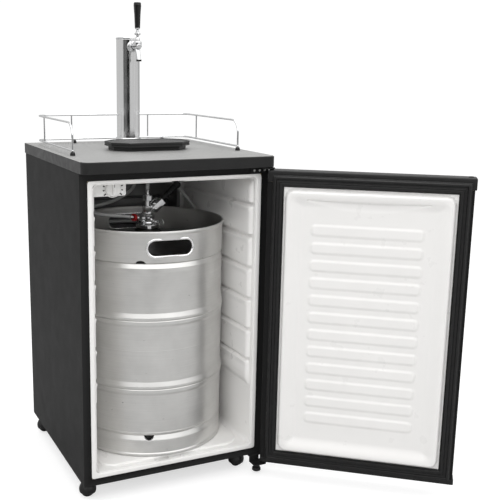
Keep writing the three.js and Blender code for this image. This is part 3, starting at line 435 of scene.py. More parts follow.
def tone(value):
    """A grey of one linear value."""
    return (value, value, value)


def finish(name, dark, light, rough, metal=0.0, grain=40.0, fine=900.0, depth=0.1, coat=0.0, wear=None,
           fine_depth=0.0, specular=0.5):
    """A painted, moulded or metal finish: mottled colour, uneven gloss, and coarse and fine relief."""
    made, tree, shader, where = graph(name)
    mottle = noise_at(tree, where, grain, 4.0)
    colour = mottled(tree, mottle, dark, light)
    if wear:
        colour = edge_wear(tree, colour, wear)
    reliefs = [(mottle, depth)]
    if fine_depth:
        reliefs.append((noise_at(tree, where, fine, 2.0), fine_depth))
    gloss = spread(tree, noise_at(tree, where, grain * 2.3), *rough)
    surface(tree, shader, colour, gloss, reliefs, 0.0006, Metallic=metal, Coat_Weight=coat,
            Coat_Roughness=0.12, Specular_IOR_Level=specular)
    return made


def painted_steel():
    """Matte charcoal cabinet paint with a faint orange-peel texture."""
    return finish("charcoal_paint", tone(0.0065), tone(0.0075), (0.50, 0.56), 0.0, 9.0, 1500.0, 0.0,
                  wear=tone(0.03), fine_depth=0.18, specular=0.09)


def black_moulding():
    return finish("black_moulding", tone(0.006), tone(0.009), (0.34, 0.46), 0.0, 25.0, 1300.0, 0.03,
                  wear=tone(0.03), fine_depth=0.16, specular=0.35)


def black_lacquer():
    """Glossy lacquer of the tap handle."""
    return finish("black_lacquer", tone(0.003), tone(0.006), (0.16, 0.26), 0.0, 30.0, 800.0, 0.03, coat=0.25,
                  specular=0.3)


def grey_laminate():
    """Worktop: light grey with fine speckled grain."""
    made, tree, shader, where = graph("grey_laminate")
    fine = noise_at(tree, where, 1100.0, 2.0)
    broad = noise_at(tree, where, 14.0, 4.0)
    stops = [(0.3, (0.17, 0.17, 0.166)), (0.5, (0.28, 0.28, 0.275)), (0.7, (0.40, 0.40, 0.39))]
    speck = ramp(tree, fine, stops)
    colour = mixed(tree, speck, mottled(tree, broad, tone(0.93), tone(1.05)))
    surface(tree, shader, colour, spread(tree, broad, 0.34, 0.46), [(fine, 0.12)], 0.0003)
    return made


def white_moulding(name, light, rough=(0.26, 0.40)):
    """Vacuum-formed white plastic: soft gloss, faint waviness and slight yellowing."""
    made, tree, shader, where = graph(name)
    dark = tuple(channel * 0.975 for channel in light)
    colour = mottled(tree, noise_at(tree, where, 6.0), dark, light)
    gloss = spread(tree, noise_at(tree, where, 22.0), *rough)
    surface(tree, shader, colour, gloss, [(noise_at(tree, where, 1600.0, 2.0), 0.06)], 0.0008,
            Specular_IOR_Level=0.45)
    return made


def chrome():
    made, tree, shader, where = graph("polished_chrome")
    film = noise_at(tree, where, 55.0, 4.0)
    colour = mottled(tree, film, (0.64, 0.65, 0.66), tone(0.76))
    surface(tree, shader, colour, spread(tree, film, 0.05, 0.12), [(noise_at(tree, where, 30.0, 2.0), 0.04)],
            0.0004, Metallic=1.0)
    return made


def brushed_column():
    """Polished tower tube with faint lengthwise polishing lines."""
    made, tree, shader, where = graph("polished_column")
    lines = noise_at(tree, where, 1.0, 4.0, (900.0, 900.0, 6.0))
    film = noise_at(tree, where, 20.0)
    surface(tree, shader, mottled(tree, lines, tone(0.74), tone(0.84)), spread(tree, film, 0.12, 0.20),
            [(lines, 0.02)], 0.0003, Metallic=1.0)
    return made


def keg_steel():
    """Stainless barrel: brushed round its girth, faintly mottled, and scuffed here and there."""
    made, tree, shader, where = graph("keg_stainless")
    brush = noise_at(tree, where, 1.0, 5.0, (10.0, 10.0, 1400.0))
    mottle = noise_at(tree, where, 17.0, 5.0)
    smear = noise_at(tree, where, 1.0, 5.0, (26.0, 26.0, 5.0))
    scuffs = noise_at(tree, where, 1.0, 3.0, (60.0, 60.0, 150.0))
    clean = mottled(tree, mottle, (0.66, 0.655, 0.64), (0.745, 0.74, 0.725))
    brushed = mixed(tree, clean, ramp(tree, brush, [(0.35, tone(0.93)), (0.65, tone(1.0))]))
    marks = ramp(tree, scuffs, [(0.0, tone(0.45)), (0.24, tone(0.6)), (0.28, tone(1.0))])
    gloss = sums(tree, "ADD", spread(tree, mottle, 0.34, 0.42), spread(tree, smear, -0.02, 0.06))
    reliefs = [(brush, 0.07), (noise_at(tree, where, 260.0, 2.0), 0.02)]
    surface(tree, shader, mixed(tree, brushed, marks), gloss, reliefs, 0.0006, Metallic=1.0)
    return made


def keg_dome_painted_shade():
    """Painted shade: the head of the keg inside its top chime, given a dark steel that stands for the shade
    there.
    """
    return finish("keg_dome_painted_shade", (0.055, 0.054, 0.052), (0.10, 0.098, 0.094), (0.28, 0.42), 1.0, 14.0,
                  400.0, 0.08, fine_depth=0.05)


def back_wall_painted_shade():
    """Painted shade: the liner's back wall behind the evaporator, a smooth moulding given grey to stand for
    the shade there.
    """
    return finish("back_wall_painted_shade", tone(0.20), tone(0.24), (0.35, 0.5), 0.0, 8.0, 1600.0, 0.0,
                  fine_depth=0.06, specular=0.35)


def evaporator_painted_shade():
    """Painted shade: the evaporator plate, darkened to stand for the shade at the back of the cabinet."""
    return finish("evaporator_painted_shade", tone(0.11), tone(0.15), (0.34, 0.5), 1.0, 12.0, 700.0, 0.06,
                  fine_depth=0.05)


def lip_painted_highlight():
    """Painted highlight: the hand slots' rolled edges, given a brighter steel than the barrel to stand for
    the light they catch.
    """
    return finish("lip_painted_highlight", tone(0.86), tone(0.94), (0.20, 0.30), 1.0, 60.0, 900.0, 0.03)


def drip_grid_painted_light():
    """Painted light: the drip grid is the tray's plastic made paler to stand for the light on its upward
    faces, and paler again along its sharp edges.
    """
    return finish("drip_grid_plastic_painted_light", tone(0.022), tone(0.034), (0.28, 0.4), 0.0, 30.0, 1300.0, 0.03,
                  wear=tone(0.08), fine_depth=0.12)


def drain_painted_shade():
    """Painted shade: the inside of the keg's drain notches, coloured near black to stand for the shade in
    them.
    """
    return finish("drain_painted_shade", tone(0.006), tone(0.016), (0.4, 0.7), 0.0, 80.0, 900.0, 0.1, specular=0.2)


def cream_foam():
    return finish("cream_foam", (0.62, 0.50, 0.27), (0.74, 0.62, 0.36), (0.8, 0.95), 0.0, 120.0, 700.0, 0.6,
                  fine_depth=0.3)


def black_rubber():
    return finish("black_rubber", tone(0.006), tone(0.009), (0.42, 0.6), 0.0, 60.0, 1600.0, 0.05,
                  fine_depth=0.1, specular=0.35)


def mill_aluminium():
    return finish("mill_aluminium", tone(0.34), tone(0.46), (0.30, 0.5), 1.0, 30.0, 900.0, 0.1,
                  fine_depth=0.08)


def zinc_plate():
    return finish("zinc_plate", (0.42, 0.42, 0.40), (0.60, 0.60, 0.58), (0.26, 0.42), 1.0, 45.0, 900.0, 0.08,
                  wear=tone(0.75), fine_depth=0.05)


def red_nylon():
    return finish("red_nylon", (0.42, 0.010, 0.012), (0.55, 0.018, 0.016), (0.25, 0.4), 0.0, 40.0, 900.0,
                  0.06, fine_depth=0.05)


def grey_vinyl():
    return finish("grey_vinyl", tone(0.36), tone(0.46), (0.28, 0.42), 0.0, 70.0, 900.0, 0.05, coat=0.2)


def clear_vinyl():
    """Beer hose: half clear, with a cloudy film."""
    made, tree, shader, where = graph("clear_vinyl")
    film = noise_at(tree, where, 60.0)
    colour = mottled(tree, film, (0.63, 0.639, 0.63), (0.70, 0.71, 0.70))
    surface(tree, shader, colour, spread(tree, film, 0.10, 0.22), [(film, 0.05)], 0.0004,
            Transmission_Weight=0.45, IOR=1.4, Coat_Weight=0.5)
    return made


LOOKS = {
    "black_steel": painted_steel(),
    "black_plastic": black_moulding(),
    "black_gloss": black_lacquer(),
    "grey_worktop": grey_laminate(),
    "white_liner": white_moulding("white_liner_plastic", (0.86, 0.85, 0.835)),
    "white_plastic": white_moulding("white_hard_plastic", (0.88, 0.875, 0.86), (0.2, 0.32)),
    "foam": cream_foam(),
    "rubber": black_rubber(),
    "chrome": chrome(),
    "brushed_tower": brushed_column(),
    "keg_steel": keg_steel(),
    "aluminium": mill_aluminium(),
    "zinc": zinc_plate(),
    "red_plastic": red_nylon(),
    "clear_hose": clear_vinyl(),
    "grey_hose": grey_vinyl(),
}


# ---- Pieces ----
SHARP_ANGLE = math.radians(38)


def in_frame(point):
    """A place in the cabinet's millimetres, in the frame's metres."""
    return (point[0] / MM + ORIGIN.x, point[1] / MM + ORIGIN.y, point[2] / MM)


def in_scene(name, data):
    made = bpy.data.objects.new(name, data)
    bpy.context.scene.collection.objects.link(made)
    return made


def mesh_data(name, mesh, sheet=False):
    """A mesh in the frame's metres. Its faces are turned outwards, unless it is an open sheet."""
    points, faces = mesh
    data = bpy.data.meshes.new(name)
    data.from_pydata([in_frame(point) for point in points], [], faces)
    data.validate()
    if not sheet:
        shell = bmesh.new()
        shell.from_mesh(data)
        bmesh.ops.recalc_face_normals(shell, faces=shell.faces)
        shell.to_mesh(data)
        shell.free()
    return data


def shade_smooth(data):
    data.polygons.foreach_set("use_smooth", [True] * len(data.polygons))
    data.set_sharp_from_angle(angle=SHARP_ANGLE)


def add_piece(name, mesh, where, body, slot, replaces=(), look=None, sheet=False):
    """Puts a mesh in its place as a piece that rides on a body, if it has one.

    It takes its slot's material, or a special look.
    """
    data = mesh_data(name, placed(mesh, where), sheet)
    piece = in_scene(name, data)
    data.materials.append(look or LOOKS[slot])
    shade_smooth(data)
    if body:
        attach(piece, body)
    if replaces:
        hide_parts(*replaces)
    return piece


def add_bevel(piece, width):
    rounded = piece.modifiers.new("soft_edges", "BEVEL")
    rounded.width = width / MM
    rounded.segments = 3
    rounded.limit_method = "ANGLE"
    rounded.angle_limit = math.radians(35)
    rounded.harden_normals = False


def cut_out(piece, *cutters):
    """Cuts meshes out of a piece and keeps the result."""
    bpy.context.view_layer.update()
    for mesh in cutters:
        cutter = in_scene("cutter", mesh_data("cutter", mesh))
        cut = piece.modifiers.new("cut", "BOOLEAN")
        cut.object = cutter
        cut.operation = "DIFFERENCE"
        cut.solver = "EXACT"
        bpy.context.view_layer.update()
        result = bpy.data.meshes.new_from_object(piece.evaluated_get(bpy.context.evaluated_depsgraph_get()))
        piece.modifiers.remove(cut)
        used = (piece.data, cutter.data)
        piece.data = result
        bpy.data.objects.remove(cutter)
        for data in used:
            bpy.data.meshes.remove(data)
    shade_smooth(piece.data)


def keep_node(name, slot, bevel=0.0):
    """A CAD node that stays in view: a better material, and soft edges where it has room for them."""
    piece = frame["nodes"][name]
    piece.data.materials.clear()
    piece.data.materials.append(LOOKS[slot])
    if bevel:
        add_bevel(piece, bevel)


# ---- More shapes ----
def prism(points, z0, z1):
    """A flat outline raised from z0 to z1."""
    return loft([[(x, y, z0) for x, y in points], [(x, y, z1) for x, y in points]])


def sheet_prism(outer, inner, z0, z1):
    """A bent sheet between two paths of equal length, raised from z0 to z1."""
    size = len(outer)
    points = [(x, y, z) for z in (z0, z1) for path in (outer, inner) for x, y in path]
    lower_out, lower_in, upper_out, upper_in = 0, size, 2 * size, 3 * size
    faces = []
    for i in range(size - 1):
        n = i + 1
        faces.append((lower_out + i, lower_out + n, upper_out + n, upper_out + i))
        faces.append((lower_in + n, lower_in + i, upper_in + i, upper_in + n))
        faces.append((upper_out + i, upper_out + n, upper_in + n, upper_in + i))
        faces.append((lower_out + n, lower_out + i, lower_in + i, lower_in + n))
    last = size - 1
    faces.append((lower_out, upper_out, upper_in, lower_in))
    faces.append((lower_out + last, lower_in + last, upper_in + last, upper_out + last))
    return points, faces


def box_mesh(x0, x1, y0, y1, z0, z1):
    return prism([(x0, y0), (x1, y0), (x1, y1), (x0, y1)], z0, z1)


def ball(radius, steps=16):
    return turned(arc(0, 0, radius, -90, 90, steps), 2 * steps)


def hex_nut(across, z0, z1):
    """A six-sided nut across its corners, with its corners turned off at both ends."""
    radius = across / 2
    loops = []
    for inset, z in ((1.0, z0), (0, z0 + 0.8), (0, z1 - 0.8), (1.0, z1)):
        loops.append([
            ((radius - inset) * math.cos(a), (radius - inset) * math.sin(a), z)
            for a in full_circle(6)
        ])
    return loft(loops)


def pan_screw(radius, height):
    """A round screw head with a dimpled middle, standing up along +Z."""
    shape = [(0, 0), (1, 0), (1, 0.35), (0.9, 0.75), (0.55, 1), (0.3, 0.6), (0, 0.45)]
    return turned([(radius * out, height * up) for out, up in shape], 24)


def at(x, y, z, turn=HERE):
    return shift(x, y, z) @ turn


# ---- Cabinet ----
ROOM_HALF = 217
ROOM_BACK = 470
ROOM_FLOOR = 78
ROOM_TOP = 806
HUMP_FRONT = 424
HUMP_TOP = 233
FLANGE = (-230, 230, 66, 814.5)
LEDGES = [317 + 83.6 * i for i in range(6)]


def room_path(inset, back, corner):
    """The liner's U in plan: in along the left wall, across the back and out along the right wall."""
    half = ROOM_HALF - inset
    depth = back - inset
    corner = max(min(corner, half - 0.4, depth - 4), 0.2)
    sides = np.concatenate([[2.6, 6, 10, 14, 17, 20, 24], np.linspace(34, 400, 30), np.linspace(408, 448, 6)])
    sides = [min(y, depth - corner) for y in sides]
    left = [(-half, y) for y in sides]
    turn = arc(-half + corner, depth - corner, corner, 180, 90, 10)
    across = [(x, depth) for x in np.linspace(-half + corner, 0, 16)[1:]]
    near = left + turn + across
    return near + [(-x, y) for x, y in near[::-1][1:]]


def ease(value, low, high):
    """0 below low and 1 above high, with a smooth step between them."""
    share = np.clip((value - low) / (high - low), 0, 1)
    return share * share * (3 - 2 * share)


def ledge_reach(y, z):
    """How far the side wall stands in: moulded panels with a shelf groove between each and the next."""
    along = float(ease(y, 13, 22) * (1 - ease(y, 434, 446)) * ease(z, 246, 256) * (1 - ease(z, 782, 792)))
    nearest = min(LEDGES, key=lambda height: abs(z - height))
    rise = float(np.interp(z - nearest, [-21, -12, -10, -5, 5.4, 6.2, 8], [1, 1.28, 1.28, 0, 0, 1, 1]))
    return 8.0 * rise * along


def ledge_rows(low, high):
    """Heights for the wall's rows: even ones, and close ones at each shelf groove."""
    rows = set(np.arange(low, high, 14.0))
    for height in LEDGES:
        rows = {z for z in rows if not height - 23 < z < height + 10}
        rows |= {height + u for u in (-21, -15, -12, -11, -10, -8, -6.5, -5, -1, 3, 5.0, 5.4, 6.2, 6.6, 8)}
    return sorted(rows)


def liner_walls():
    fillet = 13
    rows = [(inset, ROOM_FLOOR, HUMP_FRONT) for inset in (200, 120, 60, 30, 18)]
    rows += [(inset, z, HUMP_FRONT) for inset, z in arc(fillet, ROOM_FLOOR + fillet, fillet, 270, 180, 6)]
    rows += [(0, z, HUMP_FRONT) for z in np.linspace(100, HUMP_TOP - 10, 9)]
    rows += [(0, HUMP_TOP - 10 + y, HUMP_FRONT + 10 - x) for x, y in arc(0, 0, 10, 0, 90, 5)[1:]]
    rows += [(0, HUMP_TOP + 0.1 * i, HUMP_FRONT + 10 + 6 * i) for i in range(1, 5)]
    rows += [(0, HUMP_TOP + 12 - y, ROOM_BACK - 12 + x) for x, y in arc(0, 0, 12, 90, 0, 5)]
    rows += [(0, z, ROOM_BACK) for z in ledge_rows(249, ROOM_TOP - fillet - 1)]
    rows += [(inset, z, ROOM_BACK) for inset, z in arc(fillet, ROOM_TOP - fillet, fillet, 180, 90, 6)]
    rows += [(inset, ROOM_TOP, ROOM_BACK) for inset in (18, 30, 60, 120, 200)]
    sheet = []
    for inset, z, back in rows:
        line = []
        for x, y in room_path(inset, back, 24):
            reach = ledge_reach(y, z) if abs(x) > ROOM_HALF - 3 else 0.0
            line.append((x - math.copysign(reach, x), y, z))
        sheet.append(line)
    points, faces = grid(sheet)
    return points, [face[::-1] for face in faces]


def liner_floor_strips():
    """The middle of the liner's floor and ceiling."""
    floor = box_mesh(-18, 18, 2.6, HUMP_FRONT - 190, ROOM_FLOOR - 1.4, ROOM_FLOOR - 0.02)
    ceiling = box_mesh(-18, 18, 2.6, ROOM_BACK - 190, ROOM_TOP + 0.02, ROOM_TOP + 1.4)
    return together(floor, ceiling)


def liner_flange():
    """The liner's front flange, rolled over into its mouth."""
    inner = (-ROOM_HALF, ROOM_HALF, ROOM_FLOOR, ROOM_TOP)

    def rect(box, inset, corner):
        return (box[0] + inset, box[1] - inset, box[2] + inset, box[3] - inset, corner)

    outside = [(0, 7, 3.4), (0, 7, 1.2), (0.4, 6.6, 0.4), (1.4, 6, 0)]
    mouth = [(-3.0, 12, 0), (-1.4, 11, 0.5), (-0.5, 10.4, 1.6), (0, 10, 3.2), (0.1, 10, 9), (-1.6, 11, 9),
             (-1.6, 11, 3.4)]
    rows = [(rect(FLANGE, inset, corner), y) for inset, corner, y in outside]
    rows += [(rect(inner, inset, corner), y) for inset, corner, y in mouth]
    return frame_ring(rows, steps=10)


def cabinet():
    keep_node("cabinet_shell", "black_steel", 0.7)
    keep_node("front_frame", "black_steel", 0.8)
    keep_node("base_plate", "black_steel", 0.5)
    keep_node("back_panel", "black_steel", 0.4)
    keep_node("insulation_foam", "foam")
    walls = add_piece("inner_liner_walls", liner_walls(), HERE, "cabinet", "white_liner", ["inner_liner"],
                      sheet=True)
    # Painted shade: the back wall's faces above the hump take a grey that stands for the shade at the back of
    # the cabinet.
    walls.data.materials.append(back_wall_painted_shade())
    back = (ROOM_BACK - 12) / MM + ORIGIN.y
    for face in walls.data.polygons:
        if abs(face.normal.y) > 0.8 and face.center.y > back and face.center.z * MM > HUMP_TOP + 14:
            face.material_index = 1
    thick = walls.modifiers.new("sheet", "SOLIDIFY")
    thick.thickness = 1.8 / MM
    thick.offset = -1
    add_piece("inner_liner_middle", liner_floor_strips(), HERE, "cabinet", "white_liner")
    add_piece("inner_liner_flange", liner_flange(), HERE, "cabinet", "white_liner")
    platform = slab(-196, 199, 20, HUMP_FRONT, ROOM_FLOOR - 1, 84.7, 45, 0, 4.5, back_corner=3, steps=16)
    add_piece("keg_platform", platform, HERE, "cabinet", "white_liner")
    evaporator()
    for z in (BODY_TOP - 20, 240):
        for x in (-225, -110, 0, 110, 225):
            add_piece(f"back_screw_{x}_{z}", pan_screw(4.2, 2.2), at(x, 516, z, ALONG_Y), "cabinet", "zinc")


def evaporator():
    front = ROOM_BACK - 8
    sheet = front_slab(-195, 195, 270, 735, front, front + 2, 6, 0.6, 0.6)
    passes = [314 + 77 * i for i in range(6)]
    line = []
    for i, z in enumerate(passes):
        side = -1 if i % 2 else 1
        line += [(-171 * side, front - 0.4, z), (171 * side, front - 0.4, z)]
    channel = tube(bent_line(line, 30), 3.6, 12)
    posts = [
        placed(turned([(0, 0), (5, 0), (5, 6), (0, 6)], 20), at(x, front + 1.6, z, ALONG_Y))
        for x in (-170, 170) for z in (300, 700)
    ]
    # Painted shade: the plate takes a darkened aluminium that stands for the shade at the back of the
    # cabinet.
    add_piece("evaporator_plate_formed", together(sheet, channel, *posts), HERE, "cabinet", "aluminium",
              ["evaporator_plate"], evaporator_painted_shade())
    screws = [
        placed(pan_screw(5, 2.4), at(x, front, z, AGAINST_Y))
        for x in (-170, 170) for z in (300, 700)
    ]
    add_piece("evaporator_screws", together(*screws), HERE, "cabinet", "zinc")


def worktop():
    inner = 3.3
    nose = rect_loop(inner - 252, 252 - inner, inner - 36, 60, 19 - inner, 0.05, steps=12)
    step = -16.7
    front = [point for point in nose if point[1] < step]
    left = [(-252, 518), (-252, step), (inner - 252, step)]
    right = [(-x, y) for x, y in left[::-1]]
    board = add_piece("worktop_board", prism([*left, *front, *right], BODY_TOP + GAP, WORKTOP_TOP), HERE,
                      "cabinet", "grey_worktop", ["worktop"])
    board.data.materials.append(LOOKS["black_plastic"])
    for face in board.data.polygons:
        if abs(face.normal.z) < 0.5:
            face.material_index = 1
    add_bevel(board, 1.4)
    board.modifiers["soft_edges"].material = 0
    bands = []
    for inset in (0, 3):
        loop = rect_loop(inset - 252, 252 - inset, inset - 36, 20, 19 - inset, 0.05, steps=12)
        path = [point for point in loop if point[1] < 0]
        bands.append([(path[0][0], -17), *path, (path[-1][0], -17)])
    band = sheet_prism(*bands, BODY_TOP + GAP, WORKTOP_TOP - 1.2)
    trim = add_piece("worktop_trim", band, HERE, "cabinet", "black_plastic", ["worktop_front_trim"])
    add_bevel(trim, 0.8)


def thermostat():
    x, z, front = -148, 787, 58
    shell = slab(-199, -114, 768, ROOM_TOP - GAP, front, 140, 5, 2.0, 0.5)
    add_piece("thermostat_case", upright(shell), HERE, "cabinet", "white_plastic", ["thermostat_housing"])
    ring = turned([(20.4, 0), (21.4, -0.7), (22.4, 0)], 48, closed=True)
    add_piece("thermostat_ring", ring, at(x, front + 0.15, z, ALONG_Y), "cabinet", "white_plastic")
    marks = []
    for i in range(11):
        mark = box_mesh(-1.5, 1.5, -0.5, 0.3, 21.6, 26.0 if i % 5 else 28.0)
        mark = placed(mark, at(x, front, z, spin("Y", -125 + 25 * i)))
        heights = [point[2] for point in mark[0]]
        if max(heights) < ROOM_TOP - 1 and min(heights) > 769:
            marks.append(mark)
    add_piece("thermostat_marks", together(*marks), HERE, "cabinet", "black_plastic")
    face = front - GAP
    disc = placed(lathe([(0, 0), (17, 0), (19, 2), (19, 7), (0, 7)], 0.7, 3, 64), at(x, face - 7, z, ALONG_Y))
    grips = [
        placed(box_mesh(-0.6, 0.6, 1.5, 6.4, 18.6, 19.5), at(x, face - 7, z, spin("Y", 15 * i)))
        for i in range(24)
    ]
    bar = front_slab(x - 4, x + 4, z - 15, z + 15, face - 13, face - 6, 3.9, 1.4, 0.1, steps=6)
    add_piece("thermostat_dial_knob", together(disc, bar, *grips), HERE, "thermostat_dial", "white_plastic",
              ["thermostat_knob"])
    pointer = box_mesh(x - 0.7, x + 0.7, face - 13.15, face - 12.4, z + 4, z + 13)
    add_piece("thermostat_pointer", pointer, HERE, "thermostat_dial", "black_plastic")


# ---- Hinges, foot and casters ----
def hinges():
    keep_node("top_hinge_bracket", "black_steel", 0.5)
    keep_node("bottom_hinge_bracket", "black_steel", 0.6)
    for i, x in enumerate((207, 222, 236)):
        head = pan_screw(3.2, 1.8)
        add_piece(f"top_hinge_screw_{i + 1}", head, at(x, -3.3, 824, AGAINST_Y), "cabinet", "zinc")
    pin_head = lathe([(0, 0), (6.2, 0), (6.2, 1.2), (4.6, 2.0), (0, 2.2)], 0.5, 3, 32)
    add_piece("top_hinge_pin_head", pin_head, at(HINGE.x, HINGE.y, 832.8 - 1.2), "cabinet", "zinc")
    nut = hex_nut(13, 27.6, 30.5)
    add_piece("bottom_hinge_nut", nut, at(HINGE.x, HINGE.y, 0), "cabinet", "zinc")
    foot = lathe([(0, 9), (10, 9), (12, 11), (11.5, 17), (6, 21), (6, 22), (9, 22), (9, 28), (5, 28),
                  (5, 30.2), (0, 30.2)], 0.8, 3, 48)
    add_piece("levelling_foot_screw", foot, at(228, -18, 0), "cabinet", "black_plastic",
              ["levelling_foot"])
    collar = lathe([(5.2, 27.9), (9.1, 27.9), (9.1, 29.4), (5.2, 29.4)], 0.3, 2, 40, closed=True)
    add_piece("levelling_foot_nut", collar, at(228, -18, 0), "cabinet", "zinc")


def caster(end, side, x, y):
    """A ball-hooded caster: its fork turns about the upright at (x, y), and its wheel trails to the left."""
    fork, wheel = f"fork_{end}_{side}", f"wheel_{end}_{side}"
    trail, axle_height, half_slot = 15, 18, 8
    axle_place = at(x - trail, y, axle_height, ALONG_Y)
    hood = turned([(0, 13), (20.49, 13), *arc(0, 21, 22, -21, 90, 18)], 64)
    cover = add_piece(f"caster_hood_{end}_{side}", hood, at(x - trail, y, 0), fork, "black_plastic",
                      [f"caster_fork_{end}_{side}"])
    slot = turned([(0, -half_slot), (19.7, -half_slot), (19.7, half_slot), (0, half_slot)], 48)
    drop = box_mesh(x - trail - 19.5, x - trail + 19.5, y - half_slot, y + half_slot, -5, axle_height)
    cut_out(cover, placed(slot, axle_place), drop)
    add_bevel(cover, 0.5)
    disc = lathe([(0, 42), (16, 42), (16, 47.7), (0, 47.7)], 0.8, 3, 48)
    neck = slab(-14, 8, -8, 8, 36, 44, 6, 0, 1.5)
    button = lathe([(0, 0), (7.5, 0), (7.5, 0.8), (5, 1.8), (0, 2)], 0.4, 3, 40)
    buttons = [
        placed(button, at(-trail, 19.2 * hand, axle_height, spin("X", -90 * hand)))
        for hand in (-1, 1)
    ]
    add_piece(f"caster_neck_{end}_{side}", together(disc, neck, *buttons), at(x, y, 0), fork, "black_plastic")
    half_tread = [(6, 5), (7, 6.2), (13, 6.2), (13.6, 7), (16.2, 7), (18, 4.6)]
    outline = [(0, -5), *[(r, -z) for r, z in half_tread], *half_tread[::-1], (0, 5)]
    axle = turned([(0, -17), (3, -17), (3, 17), (0, 17)], 24)
    rolling = together(lathe(outline, 0.9, 3, 64), axle)
    add_piece(f"caster_tread_{end}_{side}", rolling, axle_place, wheel, "rubber",
              [f"caster_wheel_{end}_{side}"])


def casters():
    for side, x in (("left", -213), ("right", 213)):
        for end, y in (("front", 45), ("back", 475)):
            caster(end, side, x, y)


# ---- Services on the back ----
def compressor():
    here = at(70, 498, 49.8)
    can = lathe([(0, 8), (46, 8, 8), (56, 22, 8), (56, 84, 14), (48, 108, 16), (26, 122, 14), (0, 126)],
                6, 6, 96)
    seam = lathe([(55.6, 60), (57.4, 61), (57.4, 64), (55.6, 65)], 0.6, 3, 96, closed=True)
    feet = slab(-72, 72, -40, 30, 0, 3, 10, 0.5, 0.8)
    posts = [slab(x - 8, x + 8, -25, 15, 2, 20, 3, 0, 1) for x in (-30, 30)]
    box = slab(50, 82, -22, 22, 40, 86, 4, 1.5, 2.5)
    add_piece("compressor_can", together(can, seam, feet, *posts, box), here, "cabinet", "black_steel",
              ["compressor"])
    grommet = lathe([(0, -1), (7, -1), (7, 2), (5, 4), (7, 6), (7, 8), (0, 8)], 0.8, 3, 32)
    grommets = [placed(grommet, at(x, y, 0)) for x in (-62, 62) for y in (-30, 20)]
    add_piece("compressor_grommets", together(*grommets), here, "cabinet", "rubber")
    stub = tube(bent_line([(-40, 0, 96), (-52, 6, 112), (-62, 14, 118), (-68, 20, 100)], 8, 5), 4, 16)
    add_piece("compressor_stub", stub, here, "cabinet", "zinc")


def condenser():
    """A pipe in five runs across the back, between two rows of upright wires."""
    y, half_run, low_run = 532, 205, 262
    corners = []
    for i in range(5):
        start = half_run if i % 2 else -half_run
        corners += [(start, y, low_run + 120 * i), (-start, y, low_run + 120 * i)]
    pipe = tube(bent_line(corners, 22), 3, 16)
    wires = []
    for i in range(17):
        x = -192 + 24 * i
        for side in (-4.2, 4.2):
            wires.append(tube([(x, y + side, 250), (x, y + side, 755)], 0.9, 8))
    stands = [
        front_slab(x - 7, x + 7, z - 6, z + 6, 516 + GAP, y - 2, 3, 0.5, 0.5)
        for x in (-180, 180) for z in (low_run, low_run + 360)
    ]
    add_piece("condenser_pipe", together(pipe, *wires, *stands), HERE, "cabinet", "black_steel",
              ["condenser_coil"])


def gas_port():
    """The gas fitting through the back wall, with a hose barb at each end."""
    inside, outside = ROOM_BACK - GAP, 516 + GAP
    inner_barbs = [(4, -22), (5.2, -18), (4, -17), (5.2, -13), (4, -12), (4, -4), (9.5, -4), (9.5, 0)]
    outer_barbs = [(7, 7), (4.2, 8), (5.2, 12), (4.2, 13), (5.2, 17), (4.2, 18), (4, 22)]
    profile = [(0, inside - 22), *[(radius, inside + along) for radius, along in inner_barbs], (7, inside),
               *[(radius, outside + along) for radius, along in outer_barbs], (0, outside + 22)]
    port = together(lathe(profile, 0.4, 2, 40), hex_nut(21.5, outside, outside + 7))
    add_piece("gas_port", port, at(-206, 0, 770, ALONG_Y), "cabinet", "zinc", ["gas_bulkhead"])


def mains_gland():
    gland = lathe([(4, 508), (8, 508), (8, 516.3), (13, 516.3), (13, 520), (8.4, 524), (8.8, 526),
                   (8, 528), (8, 530), (4, 530)], 0.6, 3, 48, closed=True)
    add_piece("mains_gland", gland, at(-190, 0, 228, ALONG_Y), "cabinet", "rubber", ["mains_inlet"])


# ---- On the worktop ----
def guard_rail():
    side, back, front, top, low, wire = 226, 472, 128, 941, 874, 2.5
    plan = [(-side, front), (-side, back), (side, back), (side, front)]
    hoop_line = [(-side, front, low - 4), *[(x, y, top) for x, y in plan], (side, front, low - 4)]
    upper = bent_line(hoop_line, 34, 12)
    lower = bent_line([(x, y, low) for x, y in plan], 30, 12)
    meshes = [tube(upper, wire, 20), tube(lower, wire, 20)]
    for x, y in ((-side, 393), (side, 393), (-127, back), (104, back)):
        meshes.append(tube([(x, y, low - 2), (x, y, top - 1)], 2.1, 16))
        for z in (low, top):
            meshes.append(placed(ball(3.1, 8), shift(x, y, z)))
    feet = ((-side, front), (side, front), (-120, back), (150, back))
    for x, y in feet:
        meshes.append(tube([(x, y, low - 8), (x, y, low)], wire, 20))
        meshes.append(placed(ball(3.2, 8), shift(x, y, low)))
    add_piece("rail_wire", together(*meshes), HERE, "cabinet", "chrome", ["guard_rail"])
    for i, (x, y) in enumerate(feet):
        cap = lathe([(0, 862.3), (6.5, 862.3), (6.1, 867), (4.6, 870.6), (3, 870.6), (3, 866), (0, 866)],
                    0.9, 3, 40)
        add_piece(f"rail_foot_cap_{i + 1}", cap, shift(x, y, 0), "cabinet", "rubber",
                  [f"rail_foot_{i + 1}"])


